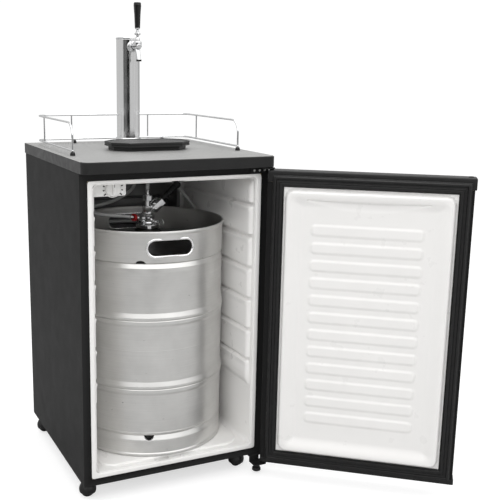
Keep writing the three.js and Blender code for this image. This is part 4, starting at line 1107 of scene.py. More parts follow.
def tower():
    x, y, base = TOWER
    here = shift(x, y, 0)
    wall = lathe([(30, base), (32, base), (32, 1150), (30, 1150)], 0.5, 2, 128, closed=True)
    column = add_piece("tower_tube", wall, here, "cabinet", "brushed_tower", ["tower_column"])
    shank_hole = turned([(0, -60), (9.5, -60), (9.5, 0), (0, 0)], 40)
    cut_out(column, placed(shank_hole, at(x, y, FAUCET.z, ALONG_Y)))
    flare = lathe([(32.3, base), (43, base, 1.2), (43, base + 3.4, 1.6), (39.5, base + 5, 3),
                   (35.6, base + 12, 8), (34, base + 20, 0.8), (32.3, base + 20)], 0.4, 5, 128, closed=True)
    add_piece("tower_base_ring", flare, here, "cabinet", "chrome", ["tower_flange"])
    lid = lathe([(0, 1145.4), (29.6, 1145.4), (29.6, 1150.3), (33, 1150.3, 0.4), (33, 1153.2, 1.4),
                 (30, 1155.3, 4), (0, 1156)], 0.4, 5, 128)
    add_piece("tower_lid", lid, here, "cabinet", "chrome", ["tower_cap"])


FAUCET_PLACE = at(*FAUCET)
COLUMN_FACE = TOWER.y - 32 - FAUCET.y  # the column's front, measured back from the faucet


def shank():
    """The threaded pipe through the column, its nuts, and the elbow that the beer line meets."""
    face = COLUMN_FACE
    pipe = lathe([(0, face - 8), (9, face - 8), (9, face - 5), (15, face - 5, 1), (15, face - 1.2, 1),
                  (9, face - 1.2), (9, face + 12), (5, face + 12), (5, 79), (0, 79)], 0.4, 3, 64)
    elbow_foot = 1075.3 - FAUCET.z
    elbow = turned([(0, elbow_foot), (5, elbow_foot), (5, 0), (0, 0)], 32)
    fitting = together(
        placed(pipe, ALONG_Y),
        placed(hex_nut(27, face + 12, face + 18), ALONG_Y),
        placed(elbow, shift(0, 75, 0)),
    )
    add_piece("shank_fitting", fitting, FAUCET_PLACE, "cabinet", "chrome", ["shank"])


def faucet_nut():
    """The coupling collar, with three notches for its spanner."""
    face = COLUMN_FACE
    back = face - 5.3
    ring = lathe([(9.5, face - 24), (13, face - 24, 0.8), (14.5, face - 22, 0.8), (14.5, back, 0.6),
                  (9.5, back)], 0.3, 3, 96, closed=True)
    collar = add_piece("faucet_nut", ring, FAUCET_PLACE @ ALONG_Y, "cabinet", "chrome", ["faucet_collar"])
    notch = box_mesh(-2, 2, face - 19, face - 11, 12.4, 18)
    cut_out(collar, *[placed(notch, FAUCET_PLACE @ spin("Y", 120 * i + 29)) for i in range(3)])


def spout():
    """The bent spout, with a hollow mouth."""
    route = [(4, 0), (1, -8), (-3, -17), (-7, -26), (-9.4, -33), (-10, -39)]
    bend = smooth_line([(0, y, z) for y, z in route], 1.5)
    side = Vector((1, 0, 0))
    last = len(bend) - 1
    loops = []
    for i, centre in enumerate(bend):
        along = i / last
        radius = float(7.4 - 1.6 * ease(along, 0, 0.6) + 0.9 * ease(along, 0.86, 0.93))
        ahead = (bend[min(i + 1, last)] - bend[max(i - 1, 0)]).normalized()
        loops.append(ring_at(centre, side, ahead.cross(side), radius, 40))
    mouth = [tuple(Vector(point).lerp(bend[-1], 0.28)) for point in loops[-1]]
    throat = [(x, y + 1.2, z + 7) for x, y, z in mouth]
    return loft([*loops, mouth, throat])


def faucet():
    shank()
    faucet_nut()
    face = COLUMN_FACE
    barrel = lathe([(0, -14), (6, -14, 1.2), (7, -12, 1), (7, -8, 1.5), (9, -6, 1.5), (9, 12, 0.4),
                    (8.2, 13, 0.4), (8.2, 15, 0.4), (9, 16, 0.4), (9, face - 8.3), (0, face - 8.3)],
                   0.5, 3, 64)
    bonnet = lathe([(0, -6), (9, -4, 2), (10.4, -1, 1.5), (11, 1, 0.8), (11, 10, 1), (9.5, 14, 1),
                    (7.2, 14, 0.4), (7.0, 9), (0, 7)], 0.6, 4, 64)
    casting = together(placed(barrel, ALONG_Y), bonnet, spout())
    add_piece("faucet_casting", casting, FAUCET_PLACE, "cabinet", "chrome", ["faucet_body"])
    # Painted shade: a black ring at the spout's mouth and one round the bonnet stand for the dark of the
    # spout's hole and of the lever's slot.
    across, back = Vector((1, 0, 0)), Vector((0, 1, 0))
    tip = loft([
        ring_at(Vector((0, y, z)), across, back, radius, 40)
        for y, z, radius in ((-9.8, -34.5, 6.75), (-10, -35.2, 7.15), (-10, -38.6, 7.15), (-10, -39.4, 6.45))
    ])
    add_piece("faucet_spout_painted_shade", tip, FAUCET_PLACE, "cabinet", "rubber")
    painted_shade_collar = lathe([(9.3, -1.4), (11.5, -1.4, 0.4), (11.5, 0.8, 0.4), (9.3, 0.8)], 0.3, 2, 64, closed=True)
    add_piece("faucet_bonnet_painted_shade", painted_shade_collar, FAUCET_PLACE, "cabinet", "rubber")
    plunger = lathe([(0, -4), (2, -4), (3.2, -2), (3.2, 14), (0, 14)], 0.4, 3, 32)
    add_piece("faucet_plunger_rod", plunger, FAUCET_PLACE @ ALONG_Y, "tap_plunger", "chrome",
              ["faucet_plunger"])
    tap_lever()


def tap_lever():
    pivot = at(FAUCET.x, FAUCET.y, TAP_PIVOT.z)
    arm = lathe([(0, -11), (1.8, -11), (1.8, -6.2), *arc(0, 0, 6.5, -68, 40, 10), (3.4, 6.6, 1),
                 (3.4, 11, 1.4), (7.4, 12.4, 1), (8, 13.6, 0.8), (8, 17, 1), (6.2, 18.6, 0.8), (4.6, 19.4, 1),
                 (4.6, 22, 1), (3.6, 24, 0.6), (3.6, 33), (0, 33)], 0.5, 3, 64)
    add_piece("faucet_lever_arm", arm, pivot, "tap_lever", "chrome", ["faucet_lever"])
    add_piece("tap_handle_grip", tap_handle(), pivot, "tap_lever", "black_gloss", ["tap_handle"])
    ferrule = lathe([(3.7, 27.6), (6.4, 27.6, 0.6), (6.9, 29.4, 0.5), (6.9, 30.4, 0.5), (3.7, 30.4)],
                    0.3, 3, 48, closed=True)
    add_piece("tap_handle_ferrule", ferrule, pivot, "tap_lever", "chrome")


def tap_handle():
    """A tapered grip with eight soft facets that fade into its round ends."""
    profile = soften([(0, 29), (6.5, 29, 1), (7.2, 32, 2), (8.4, 64, 20), (10.0, 86, 6), (10.2, 90.5, 0.8),
                      (9.7, 91.2, 0.4), (9.7, 92.2, 0.4), (10.1, 93, 0.6), (9.2, 96.2, 1.6), (5, 97, 2),
                      (0, 97)], 0.6, 5)
    fine = []
    for (r0, z0), (r1, z1) in zip(profile, profile[1:]):
        steps = max(int(math.hypot(r1 - r0, z1 - z0) / 2.5), 1)
        fine += [(r0 + (r1 - r0) * k / steps, z0 + (z1 - z0) * k / steps) for k in range(steps)]
    fine.append(profile[-1])
    loops = []
    for r, z in fine:
        facet = float(ease(z, 31, 38) * (1 - ease(z, 84, 90)))
        loop = []
        for angle in full_circle(96):
            half_facet = math.pi / 8
            flat = math.cos(half_facet) / math.cos((angle + half_facet) % (2 * half_facet) - half_facet)
            radius = max(r, 1e-3) * (1 + facet * 0.75 * (flat - 1))
            loop.append((radius * math.cos(angle), radius * math.sin(angle), z))
        loops.append(loop)
    return loft(loops)


def octagon(half_length, half_depth, corner):
    """A rectangle with its corners cut off at 45 degrees and softened."""
    quarter = [(half_length, half_depth - corner), (half_length - corner, half_depth)]
    points = [(-x, -y) for x, y in quarter] + [(x, -y) for x, y in quarter[::-1]]
    points += quarter + [(-x, y) for x, y in quarter[::-1]]
    return soften(points, 3, 5, closed=True)


def drip_tray():
    here = at(*TRAY)
    length, depth, corner = 111, 66, 38

    def loop(inset, z, clipped):
        return [(x, y, z) for x, y in octagon(length - inset, depth - inset, corner - clipped)]

    outside = [(10, 0, 4), (9.2, 0.8, 4), (9.2, 9.0, 4), (8.6, 9.8, 4), (0.8, 10.2, 0), (0, 11, 0),
               (0, 14.4, 0), (0.9, 15.0, 0), (0.9, 16.2, 0), (0, 16.8, 0), (0, 21.2, 0), (0.8, 22, 0)]
    inside = [(3.4, 22, 1), (4.4, 21.2, 2), (4.9, 17.2, 3), (11, 17.2, 6), (12, 16, 7), (13, 4, 7),
              (15, 3, 8)]
    pan = loft([loop(*row) for row in outside + inside])
    add_piece("drip_tray_pan", pan, here, "tray", "black_plastic", ["drip_tray"])
    section = ((6, 17.6), (6, 20.0), (6.5, 20.6), (9.4, 20.6), (10, 20.0), (10, 17.6))
    rim = [loop(inset, z, 4) for inset, z in section]
    slats = []
    for i in range(-6, 7):
        y = 8.4 * i
        reach = length - 9 - max(0, abs(y) - (depth - 6 - corner + 4))
        slats.append(slab(-reach, reach, y - 2.0, y + 2.0, 17.8, 20.4, 0.8, 0.2, 0.8, steps=2))
    for x in (-80, -40, 0, 40, 80):
        half = depth - 9 - max(0, abs(x) - (length - 6 - corner + 4))
        slats.append(slab(x - 2.4, x + 2.4, -half, half, 17.6, 19.9, 0.5, 0.2, 0.5, steps=2))
    # Painted light: the grid takes a paler plastic than the tray that stands for the light on its upward
    # faces.
    add_piece("drip_grid_slats", together(loft(rim, closed=True), *slats), here, "tray_grid", "black_plastic",
              ["drip_grid"], drip_grid_painted_light())


# ---- Keg and coupler ----
def keg_section(low_seam, high_seam):
    """The barrel's section: up the outside over both chimes, then back down the inside."""
    foot_chime = [(198.4, 52, 4), (198.4, 7, 1), (199, 1.6, 1.2), (201, 0.6, 1.4), (203.2, 3, 1.6),
                  (202.6, 7, 2), (201, 10, 3)]
    lower_seam = [(201.6, low_seam - 13, 10), (197.0, low_seam - 1.2, 1.5), (196.6, low_seam, 0.5),
                  (198.6, low_seam + 2.0, 1.2), (201.2, low_seam + 9, 6)]
    weld_ridge = [(201.2, 284.4, 0.8), (201.42, 285.4, 0.6), (201.42, 286.6, 0.6), (201.2, 287.6, 0.8)]
    upper_seam = [(201.2, high_seam - 22, 8), (200.2, high_seam - 12, 6), (196.4, high_seam - 2.6, 3),
                  (195.6, high_seam - 1, 0.6), (197.6, high_seam + 0.2, 1), (201.2, high_seam + 3, 2)]
    head_chime = [(201.6, 585, 6), (204, 590, 3), (203, 595.4, 2.2), (200.6, 595.2, 2), (198.8, 590, 2),
                  (198.4, 524, 3)]
    neck = [(186, 534, 14), (36, 556, 6), (36, 563, 1.5), (33, 567, 1.2), (26, 567, 1.2), (26, 554, 2)]
    inside = [(184, 531.5, 10), (190, 512, 8), (198.6, 496, 6), (198.6, 72, 10), (184, 42, 10), (0, 20.5)]
    return soften([(0, 18), (186, 39, 20), *foot_chime, *lower_seam, *hoop(188), *weld_ridge, *hoop(370),
                   *upper_seam, *head_chime, *neck, *inside], 0.5, 5)


def keg():
    here = at(*KEG, spin("Z", KEG_TURN))
    low_seam, high_seam = 57, 513
    barrel = add_piece("keg_barrel", turned(keg_section(low_seam, high_seam), 256), here, "cabinet",
                       "keg_steel", ["keg_shell"])
    hand_slot = front_slab(-60, 60, 532, 573, -215, -190, 20.4, steps=16)
    cutters = [placed(hand_slot, here @ spin("Z", turn)) for turn in (0, 180)]
    for i in range(4):
        cutters.append(placed(drain(low_seam, -12), here @ spin("Z", -16 + 90 * i)))
        cutters.append(placed(drain(high_seam, 9), here @ spin("Z", -22 + 90 * i)))
    cut_out(barrel, *cutters)
    # Painted shade: the head inside the top chime takes a dark steel that stands for the shade there.
    barrel.data.materials.append(keg_dome_painted_shade())
    # Painted shade: the drain notches' insides take a near-black material that stands for the shade in them.
    barrel.data.materials.append(drain_painted_shade())
    axis = Vector(in_frame(KEG)[:2])
    for face in barrel.data.polygons:
        reach = (face.center.xy - axis).length * MM
        height = face.center.z * MM - KEG.z
        # Painted shade: faces inside the drain notches get the near-black material, standing for the shade
        # there.
        in_drain = low_seam - 13 < height < low_seam + 1 or high_seam - 1 < height < high_seam + 10
        if reach < 198.2 and height > 523:
            face.material_index = 1
        elif reach < 194.5 and in_drain:
            face.material_index = 2
    lip = rolled_lip(201.4, 552.6, 61.4, 22.0, 3.5)
    lips = [placed(lip, spin("Z", turn)) for turn in (0, 180)]
    # Painted highlight: the rolled lips take a brighter steel that stands for the light they catch.
    add_piece("keg_handle_lips", together(*lips), here, "cabinet", "keg_steel", look=lip_painted_highlight())
    weld = lathe([(198.2, 64.2), (201.9, 62.6), (202.0, 66.4), (198.2, 67)], 0.6, 3, 256, closed=True)
    add_piece("keg_welds", weld, here, "cabinet", "keg_steel")
    neck = lathe([(0, 34), (6.5, 34), (6.5, 525), (14, 530, 2), (20, 543, 4), (25.5, 551, 2), (25.5, 565, 1),
                  (20, 565, 0.8), (20, 562, 0.6), (9.5, 562, 0.8), (9.5, 544), (0, 544)], 0.5, 4, 72)
    add_piece("keg_valve_neck", neck, here, "cabinet", "keg_steel", ["keg_spear"])


def hoop(z):
    """A rolling hoop, from below: a low shoulder, a groove, the crest, and a long slope above it."""
    return [(201.2, z - 20, 5), (203.4, z - 14, 5), (203.4, z - 6, 2), (202.2, z - 4.4, 0.9),
            (205.1, z - 1.6, 2.5), (204.9, z + 4, 4), (201.0, z + 16, 7)]


def drain(seam, rise):
    """A half-round drain notch on a seam, reaching up or down by rise."""
    edge = [(13 * math.cos(angle), rise * math.sin(angle)) for angle in np.linspace(0, math.pi, 17)]
    if rise < 0:
        edge = edge[::-1]
    return loft([[(x, y, seam + z) for x, z in edge] for y in (-206, -192)])


def rolled_lip(radius, z, half_length, half_height, wire):
    """The rolled edge of a hand slot, bent round a barrel of the given radius."""
    flat = rect_loop(-half_length, half_length, -half_height, half_height, half_height - 0.1, steps=16)
    line = []
    for x, height in flat:
        angle = x / radius
        line.append(Vector((radius * math.sin(angle), -radius * math.cos(angle), z + height)))
    loops = []
    count = len(line)
    for i, point in enumerate(line):
        ahead = (line[(i + 1) % count] - line[i - 1]).normalized()
        out = Vector((point.x, point.y, 0)).normalized()
        side = ahead.cross(out)
        loops.append(ring_at(point, 0.8 * out, side, wire, 14))
    return loft(loops, closed=True)


def inlet_axis():
    """The gas inlet's place: it leaves the coupler to the left, a little forward and upward."""
    rise, round_z, height = 12, 18, 676
    return at(KEG.x, KEG.y, height) @ spin("Z", round_z) @ spin("Y", rise - 90)


def barbs(start, end, count, inner, outer):
    """Profile points of a hose barb from its root to its tip."""
    pitch = (end - start) / count
    points = []
    for i in range(count):
        z = start + pitch * i
        points += [(inner, z), (outer, z + 0.15 * pitch)]
    return points + [(inner - 0.4, end)]


COUPLER_PLACE = at(KEG.x, KEG.y, 0)
RELIEF_PLACE = at(KEG.x, KEG.y, 672, spin("Z", math.degrees(0.45)))


def coupler_body():
    base = 652.3
    body = lathe([
        (7.6, base), (29, base, 0.8), (31, base + 2.4, 1.2), (31, base + 11.4, 1.6), (27, base + 14, 2),
        (21.4, base + 15.6, 2), (20.4, base + 19, 1), (19, base + 20, 0.6), (18.6, 680, 1), (19.4, 682, 0.6),
        (19.4, 688, 0.8), (17, 691, 1.5), (14.6, 694, 2), (14, 698, 1), (14, 713.2, 1), (7.6, 714)],
        0.5, 4, 96, closed=True)
    lug = slab(0, 24, -13, 13, 698, 714, 4, 1.2, 1.2)
    pivots = lathe([(0, -21.5), (4, -21.5), (4, 21.5), (0, 21.5)], 0.6, 3, 40)
    casting = together(body, lug, placed(pivots, at(16, 0, 706, ALONG_Y)))
    add_piece("coupler_casting", casting, COUPLER_PLACE, "cabinet", "chrome",
              ["coupler_body"])
    boss = lathe([(0, 12), (10.6, 12), (10.6, 23, 1.2), (10, 25.9, 0.5), (0, 25.9)], 0.5, 3, 64)
    add_piece("coupler_inlet_boss", boss, inlet_axis(), "cabinet", "chrome")
    relief_boss = lathe([(3.6, -27), (7, -27, 1), (7, -15), (3.6, -15)], 0.4, 3, 48, closed=True)
    add_piece("coupler_relief_boss", relief_boss, RELIEF_PLACE @ ALONG_Y, "cabinet", "chrome")


def probe():
    """The sliding probe, with its top nut and the barb for the beer line."""
    stem = lathe([(0, 649), (5, 649, 1), (7.5, 655, 2), (7.5, 728), (0, 728)], 0.5, 3, 64)
    tail = lathe([(0, 740), (7.2, 740), (7.2, 743.2, 0.8), *barbs(744, 757, 4, 4.0, 5.2), (0, 757)],
                 0.25, 2, 48)
    add_piece("probe_stem", together(stem, hex_nut(26, 727, 741), tail), COUPLER_PLACE, "probe", "chrome",
              ["coupler_probe"])


def gas_inlet():
    """The inlet's nut and barb, and the red clip that holds the hose on it."""
    barb = lathe([(0, 37), (7.5, 37), (7.5, 40.2, 0.8), *barbs(41, 60, 5, 4.2, 5.2), (0, 60)], 0.25, 2, 48)
    add_piece("gas_inlet_nut", together(hex_nut(25, 26.3, 38), barb), inlet_axis(), "cabinet", "chrome",
              ["gas_inlet"])
    ring = lathe([(6.2, 43), (9.8, 43, 1), (9.8, 50, 1), (6.2, 50)], 0.5, 3, 64, closed=True)
    ears = [slab(x - 1.4, x + 1.4, 8, 15.4, 43.6, 49.4, 1.2, 0.5, 0.5, steps=4) for x in (-3.4, 3.4)]
    add_piece("gas_hose_clamp", together(ring, *ears), inlet_axis(), "cabinet", "red_plastic", ["gas_clamp"])
    screw = lathe([(0, -6), (2.6, -6), (2.6, -4), (1.3, -4), (1.3, 5.4), (0, 5.4)], 0.3, 2, 24)
    add_piece("gas_clamp_screw", screw, inlet_axis() @ shift(0, 12.4, 46.5) @ ALONG_X, "cabinet", "zinc")


def relief_valve():
    pin = lathe([(0, -42), (3, -42, 0.8), (3, -33.4), (5.6, -33.2, 0.8), (5.6, -28, 0.8), (3, -27.8),
                 (3, -22), (0, -22)], 0.4, 3, 40)
    add_piece("relief_plunger", pin, RELIEF_PLACE @ ALONG_Y, "relief_valve", "chrome", ["relief_pin"])
    loop = [(0, -49 + 9 * math.cos(angle), 9 * math.sin(angle)) for angle in full_circle(48)]
    add_piece("relief_ring", ring_wire(loop, 1.1), RELIEF_PLACE, "relief_valve", "zinc")


def ring_wire(line, radius):
    """A closed ring of round wire through a flat loop of points in the X = 0 plane."""
    line = [Vector(p) for p in line]
    count = len(line)
    middle = sum(line, Vector()) / count
    loops = []
    for i, point in enumerate(line):
        out = (point - middle).normalized()
        side = (line[(i + 1) % count] - line[i - 1]).normalized().cross(out)
        loops.append(ring_at(point, out, side, radius, 14))
    return loft(loops, closed=True)


def coupler_handle():
    """The lever: two cheeks on the pivots, a bridge between them, and an arm with its ribbed grip."""
    rise = 41
    here = at(PIVOT.x, KEG.y, PIVOT.z, spin("Y", -rise))
    bridge = front_slab(20, 31, -8.5, 8.5, -19.8, 19.8, 3, 1.0, 1.0)
    arm = lathe([(0, 28), (6.4, 28), (6.4, 32, 1), (5.2, 35, 2), (4.2, 40), (4.2, 88), (0, 88)], 0.6, 3, 48)
    add_piece("coupler_yoke", together(bridge, placed(arm, ALONG_X)), here, "coupler_lever", "chrome",
              ["coupler_handle"])
    bore = turned([(0, -30), (4.15, -30), (4.15, 30), (0, 30)], 40)
    for i, y in enumerate((-20, 16)):
        cheek = front_slab(-9, 30, -9, 9, y, y + 4, 8.9, 0.9, 0.9, steps=12)
        side = add_piece(f"coupler_cheek_{i + 1}", cheek, here, "coupler_lever", "chrome")
        cut_out(side, placed(bore, here @ ALONG_Y))
    grip = [(4.6, 34, 0.4), (7.4, 34, 1.2), (8.2, 40, 2)]
    for i in range(6):
        z = 46 + 7.4 * i
        radius = 8.5 + 0.32 * i
        grip += [(radius, z, 1), (radius - 0.9, z + 1.2, 0.5), (radius - 0.9, z + 2.4, 0.5),
                 (radius + 0.1, z + 3.6, 1)]
    grip += [(10.9, 94, 3), (8, 100, 3), (0, 100), (0, 88.5), (4.6, 88.5)]
    add_piece("coupler_handle_grip", lathe(grip, 0.6, 4, 72, closed=True), here @ ALONG_X,
              "coupler_lever", "black_plastic", ["coupler_grip"])
    button = lathe([(0, 99.6), (6.8, 99.6), (6.8, 100.6, 0.5), (5.6, 101.4, 0.6), (0, 101.6)], 0.3, 3, 48)
    add_piece("coupler_grip_button", button, here @ ALONG_X, "coupler_lever", "chrome")


# ---- Hoses: the routes settled in the part's source ----
HOSE_RADIUS = 4.75
BEER_LINE_ROUTE = [
    [3, 215, 757.3], [3, 215, 761], [3.6, 215.6, 767], [8, 221, 780], [21, 236, 791], [43, 255, 796],
    [71, 273, 790], [100, 289, 771], [128, 301, 747], [154, 309, 721], [177, 316, 697], [193, 324, 675],
    [198, 338, 655], [182, 357, 640], [158, 382, 632], [126, 403, 630], [88, 420, 630], [47, 431, 632],
    [3, 435, 634], [-41, 431, 636], [-83, 420, 640], [-121, 402, 647], [-151, 378, 660], [-167, 352, 675],
    [-162, 336, 691], [-138, 326, 699], [-102, 322, 703], [-64, 322, 711], [-30, 327, 723], [0, 337, 738],
    [18, 352, 756], [22, 369, 778], [15, 382, 802], [12, 385, 834], [12, 385, 880], [12, 385, 960],
    [12, 385, 1030], [12, 385, 1075],
]
GAS_LINE_ROUTE = [
    [-53.2, 196.7, 688.6], [-62, 193.8, 690.6], [-80, 189, 694], [-104, 187, 697], [-130, 192, 700],
    [-152, 205, 704], [-168, 227, 710], [-179, 256, 718], [-187, 290, 728], [-194, 330, 740],
    [-200, 370, 753], [-204, 410, 764], [-206, 432, 769], [-206, 447.3, 770],
]


def hose(name, route, slot, body, node_name):
    """A hose along its route."""
    line = smooth_line(route, 4.0)
    piece = add_piece(name, tube(line, HOSE_RADIUS, 24), HERE, body, slot, [node_name])
    return piece


def hoses():
    beer = hose("beer_hose", BEER_LINE_ROUTE, "clear_hose", None, "beer_line")
    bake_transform(beer)
    hose("gas_hose", GAS_LINE_ROUTE, "grey_hose", "cabinet", "gas_line")


# ---- Door, drawn closed and swung open ----
DOOR_X = (-252, 251)
DOOR_Y = (-56, -12)
LINER_FACE = -9.7
DIKE_FACE = 8
FIELD_FACE = -3
PANEL = (-209, 205, 82, 784)
RIB_PITCH = 45.2
RIB_TOP = 682
RIB_COUNT = 12


def rect_distance(x, z, box, corner):
    """Distance outside a rounded rectangle, negative inside it."""
    x0, x1, z0, z1 = box
    across = np.abs(x - (x0 + x1) / 2) - (x1 - x0) / 2 + corner
    upward = np.abs(z - (z0 + z1) / 2) - (z1 - z0) / 2 + corner
    outside = np.hypot(np.maximum(across, 0), np.maximum(upward, 0))
    return outside + np.minimum(np.maximum(across, upward), 0) - corner


def curve_height(x, middle, end):
    """Height of a shallow quadratic curve whose two ends stand at one height."""
    left, right = -150, 149
    along = np.clip((x - left) / (right - left), 0, 1)
    return end * ((1 - along) ** 2 + along**2) + 2 * along * (1 - along) * middle


def liner_depth(x, z):
    """Depth of the door liner's face: dike, field, ribs and the curved recess at the top."""
    outer = rect_distance(x, z, PANEL, 24)
    x0, x1, z0, z1 = PANEL
    inner = rect_distance(x, z, (x0 + 20, x1 - 20, z0 + 20, z1 - 20), 16)
    rise = 1 - ease(outer, -7.5, 0.5)
    depth = LINER_FACE + (DIKE_FACE - LINER_FACE) * rise
    depth = depth + (FIELD_FACE - DIKE_FACE) * (1 - ease(inner, -26.0, 9.0))
    inside = 1 - ease(inner, -26, -9)
    for i in range(RIB_COUNT):
        middle = RIB_TOP - RIB_PITCH * i
        taper = rect_distance(x, z, (-139, 137, middle - 15, middle + 15), 11)
        depth = depth + 3.0 * (1 - ease(taper, -5.0, 1.0)) * inside
    lower = curve_height(x, 704, 758)
    upper = curve_height(x, 752, 758)
    fall = np.clip((z - lower) / np.maximum(upper - lower, 0.5), 0, 1)
    depth = depth - 3.4 * fall * (1 - ease(z - upper, -0.4, 1.8))
    return depth


def door_liner():
    x0, x1, z0, z1 = -238, 234, 53, 813
    xs = np.linspace(x0, x1, 190)
    zs = np.linspace(z0, z1, 305)
    across, upward = np.meshgrid(xs, zs)
    depth = liner_depth(across, upward)
    rows = [[(x, y, z) for x, y in zip(xs, line)] for line, z in zip(depth, zs)]
    points, faces = grid(rows)
    width, height = len(xs), len(zs)
    rim = list(range(width))
    rim += [i * width + width - 1 for i in range(1, height)]
    rim += [(height - 1) * width + i for i in range(width - 2, -1, -1)]
    rim += [i * width for i in range(height - 2, 0, -1)]
    start = len(points)
    points += [(points[i][0], LINER_FACE - 2, points[i][2]) for i in rim]
    count = len(rim)
    for i in range(count):
        n = (i + 1) % count
        faces.append((rim[n], rim[i], start + i, start + n))
    faces.append(tuple(range(start, start + count)))
    return points, [face[::-1] for face in faces]


def gasket_ring(profile):
    """A frame of one closed profile of (inset, depth) points, with almost square corners."""
    x0, x1, z0, z1 = -241, 237, 50, 816
    return frame_ring([((x0 + i, x1 - i, z0 + i, z1 - i, 1.2), y) for i, y in profile], steps=2)


def door():
    skin = sheet_prism(door_path(0), door_path(1.5), 51.3, 797.7)
    wrap = add_piece("door_steel_wrap", skin, SWING, "door", "black_steel", ["door_skin"])
    add_bevel(wrap, 0.3)
    keep_node("door_foam", "foam")
    x0, x1 = DOOR_X
    y0, y1 = DOOR_Y
    pin_hole = turned([(0, 30), (4.2, 30), (4.2, 835), (0, 835)], 32)
    top = slab(x0, x1, y0, y1, 798, 827, 12, 0.6, 3.5, back_corner=2.5, steps=12)
    cap = add_piece("door_top_cap", top, SWING, "door", "black_plastic", ["door_cap_top"])
    cut_out(cap, placed(pin_hole, at(HINGE.x, HINGE.y, 0)))
    low = slab(x0 + 1, x1, y0, y1, 37, 51, 12, 3.0, 0.6, back_corner=2.5, steps=12)
    cap = add_piece("door_bottom_cap", low, SWING, "door", "black_plastic", ["door_cap_bottom"])
    cut_out(cap, placed(pin_hole, at(HINGE.x, HINGE.y, 0)))
    groove = front_slab(x0 + 30, x1 - 30, 811.4, 813.0, y0 - 0.15, y0 + 0.6, 0.7, 0.2, 0.1, steps=3)
    add_piece("door_cap_groove", groove, SWING, "door", "black_plastic")
    plug = lathe([(0, 821), (4.8, 821), (4.8, 827), (6.6, 827), (6.4, 828.2, 0.5), (4.6, 829, 1), (0, 829.2)],
                 0.3, 3, 40)
    add_piece("door_hole_plug", plug, SWING @ at(-238, -34, 0), "door", "black_plastic", ["hinge_hole_plug"])
    add_piece("door_liner_panel", door_liner(), SWING, "door", "white_liner", ["door_liner"])
    door_seals()


def door_seals():
    """The bellows gasket, with a thin lip at each edge."""
    base = LINER_FACE + GAP
    bellows = soften([
        (0, base), (0, base + 2.6, 1.2), (2.6, base + 4.2, 1), (3.4, -3.0, 1), (4.4, -1.0, 1.4),
        (9.0, -1.0, 1.4), (9.8, -3.0, 1), (10.6, base + 3.6, 0.8), (13.6, base + 3.0, 0.8),
        (17.2, base + 3.8, 0.8), (17.8, -3.8, 1), (18.8, -1.9, 1.6), (25.2, -1.9, 1.6), (26.2, -4.2, 1),
        (26.8, base + 3.4, 0.8), (29, base + 2, 0.8), (29, base)], 0.4, 3, closed=True)
    add_piece("door_seal", gasket_ring(bellows), SWING, "door", "rubber", ["door_gasket"])
    outer = [(0.5, base + 2.2), (0.5, base + 3.4), (1.9, base + 3.9), (2.2, base + 2.6)]
    inner = [(26.9, base + 2.6), (27.4, base + 3.9), (28.6, base + 3.3), (28.6, base + 1.8)]
    for name, lip in (("door_seal_lip", outer), ("door_seal_inner_lip", inner)):
        add_piece(name, gasket_ring(soften(lip, 0.3, 2, closed=True)), SWING, "door", "rubber")


def door_path(inset):
    """The door skin in plan, from one return flange round the outer face to the other."""
    left, right = DOOR_X[0] + 4 + inset, DOOR_X[1] - inset
    near, far = DOOR_Y[0] + inset, DOOR_Y[1] - inset
    outer = 12 - inset
    inner = 2.2 - min(inset, 1.5)
    return [
        (DOOR_X[0] + 22, far),
        *arc(left + inner, far - inner, inner, 90, 180, 4),
        *arc(left + outer, near + outer, outer, 180, 270, 12),
        *arc(right - outer, near + outer, outer, 270, 360, 12),
        *arc(right - inner, far - inner, inner, 0, 90, 4),
        (DOOR_X[1] - 18, far),
    ]


# ---- Light and camera ----
def world():
    """A plain white backdrop for the camera, and a soft studio with dark stands for everything else."""
    made = bpy.data.worlds.new("studio")
    bpy.context.scene.world = made
    made.use_nodes = True
    tree = made.node_tree
    tree.nodes.clear()
    parts = tree.nodes.new("ShaderNodeSeparateXYZ")
    tree.links.new(tree.nodes.new("ShaderNodeTexCoord").outputs["Generated"], parts.inputs[0])
    turn = sums(tree, "ARCTAN2", parts.outputs["Y"], parts.outputs["X"])
    around = spread(tree, turn, 0, 1, -math.pi, math.pi)
    dark, grey, pale = tone(0.015), tone(0.16), tone(0.86)
    stops = [(0.0, pale), (0.060, pale), (0.070, dark), (0.085, grey), (0.150, grey), (0.175, dark),
             (0.232, dark), (0.245, pale), (0.50, pale), (0.58, tone(0.5)), (0.68, tone(0.4)), (0.78, pale),
             (1.0, pale)]
    seen = tree.nodes.new("ShaderNodeLightPath")
    front = spread(tree, parts.outputs["Y"], 1, 0, -0.35, 0.1)
    mirrored = sums(tree, "MULTIPLY", front, seen.outputs["Is Glossy Ray"])
    softbox = mixed(tree, (*tone(1.15), 1), (*tone(2.6), 1), mirrored, "MIX")
    overhead = spread(tree, parts.outputs["Z"], 0, 1, 0.165, 0.27)
    sky = node(tree, "ShaderNodeBackground", Strength=0.75)
    tree.links.new(mixed(tree, ramp(tree, around, stops), softbox, overhead, "MIX"), sky.inputs["Color"])
    backdrop = node(tree, "ShaderNodeBackground", Color=(1, 1, 1, 1), Strength=1.05)
    mix = tree.nodes.new("ShaderNodeMixShader")
    tree.links.new(seen.outputs["Is Camera Ray"], mix.inputs["Fac"])
    tree.links.new(sky.outputs[0], mix.inputs[1])
    tree.links.new(backdrop.outputs[0], mix.inputs[2])
    out = tree.nodes.new("ShaderNodeOutputWorld")
    tree.links.new(mix.outputs[0], out.inputs["Surface"])


def area_light(name, position, target, size, power, glossy=False):
    data = bpy.data.lights.new(name, "AREA")
    data.shape = "SQUARE"
    data.size = size
    data.energy = power
    lamp = in_scene(name, data)
    lamp.location = position
    lamp.visible_glossy = glossy
    aim = Vector(target) - Vector(position)
    lamp.rotation_euler = aim.to_track_quat("-Z", "Y").to_euler()


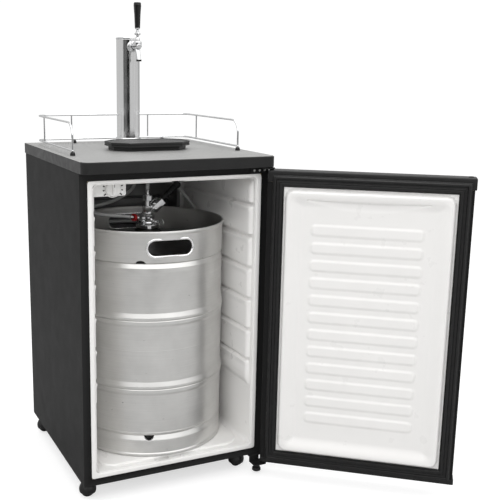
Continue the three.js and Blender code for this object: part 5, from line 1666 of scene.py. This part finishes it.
def floor():
    data = bpy.data.meshes.new("floor")
    data.from_pydata([(-5, -5, 0), (5, -5, 0), (5, 5, 0), (-5, 5, 0)], [], [(0, 1, 2, 3)])
    made, tree, shader, where = graph("pale_floor")
    colour = mottled(tree, noise_at(tree, where, 0.8), tone(0.52), tone(0.56))
    tree.links.new(colour, shader.inputs["Base Color"])
    seen = tree.nodes.new("ShaderNodeLightPath")
    glow = sums(tree, "MULTIPLY", seen.outputs["Is Camera Ray"], 0.62)
    tree.links.new(glow, shader.inputs["Emission Strength"])
    shader.inputs["Emission Color"].default_value = (1, 1, 1, 1)
    shader.inputs["Roughness"].default_value = 0.9
    shader.inputs["Specular IOR Level"].default_value = 0.1
    data.materials.append(made)
    in_scene("floor", data)


CAMERA_PLACE = (-805.6, -1855.4, 1070.1)
CAMERA_YAW, CAMERA_PITCH, CAMERA_ROLL = 25.0, -12.0, 0.7
CAMERA_LENS = 60.3
CAMERA_SHIFT = (0.10, -0.004)


def camera():
    yaw, pitch, roll = (math.radians(a) for a in (CAMERA_YAW, CAMERA_PITCH, CAMERA_ROLL))
    ahead = Vector((math.sin(yaw) * math.cos(pitch), math.cos(yaw) * math.cos(pitch), math.sin(pitch)))
    level = Vector((math.cos(yaw), -math.sin(yaw), 0))
    above = level.cross(ahead)
    across = level * math.cos(roll) + above * math.sin(roll)
    upward = -level * math.sin(roll) + above * math.cos(roll)
    data = bpy.data.cameras.new("camera")
    data.lens = CAMERA_LENS
    data.sensor_width = 36
    data.shift_x, data.shift_y = CAMERA_SHIFT
    made = in_scene("camera", data)
    turn = Matrix((across, upward, -ahead)).transposed().to_4x4()
    made.matrix_world = Matrix.Translation(in_frame(CAMERA_PLACE)) @ turn
    bpy.context.scene.camera = made


camera()
hoses()
world()
floor()
area_light("key", (-2.0, -2.2, 2.8), (-0.2, -0.1, 0.6), 2.2, 40)
area_light("front", (-1.3, -2.7, 1.2), (0.1, -0.1, 0.5), 1.6, 10)
area_light("fill", (2.4, -1.6, 1.5), (0, 0, 0.6), 1.8, 14)
area_light("top", (0.2, 0.3, 3.2), (0, 0, 0.5), 2.0, 30, glossy=True)
bpy.context.scene.view_settings.view_transform = "Standard"

cabinet()
worktop()
thermostat()
hinges()
casters()
compressor()
condenser()
gas_port()
mains_gland()
guard_rail()
tower()
faucet()
drip_tray()
keg()
coupler_body()
probe()
gas_inlet()
relief_valve()
coupler_handle()
door()
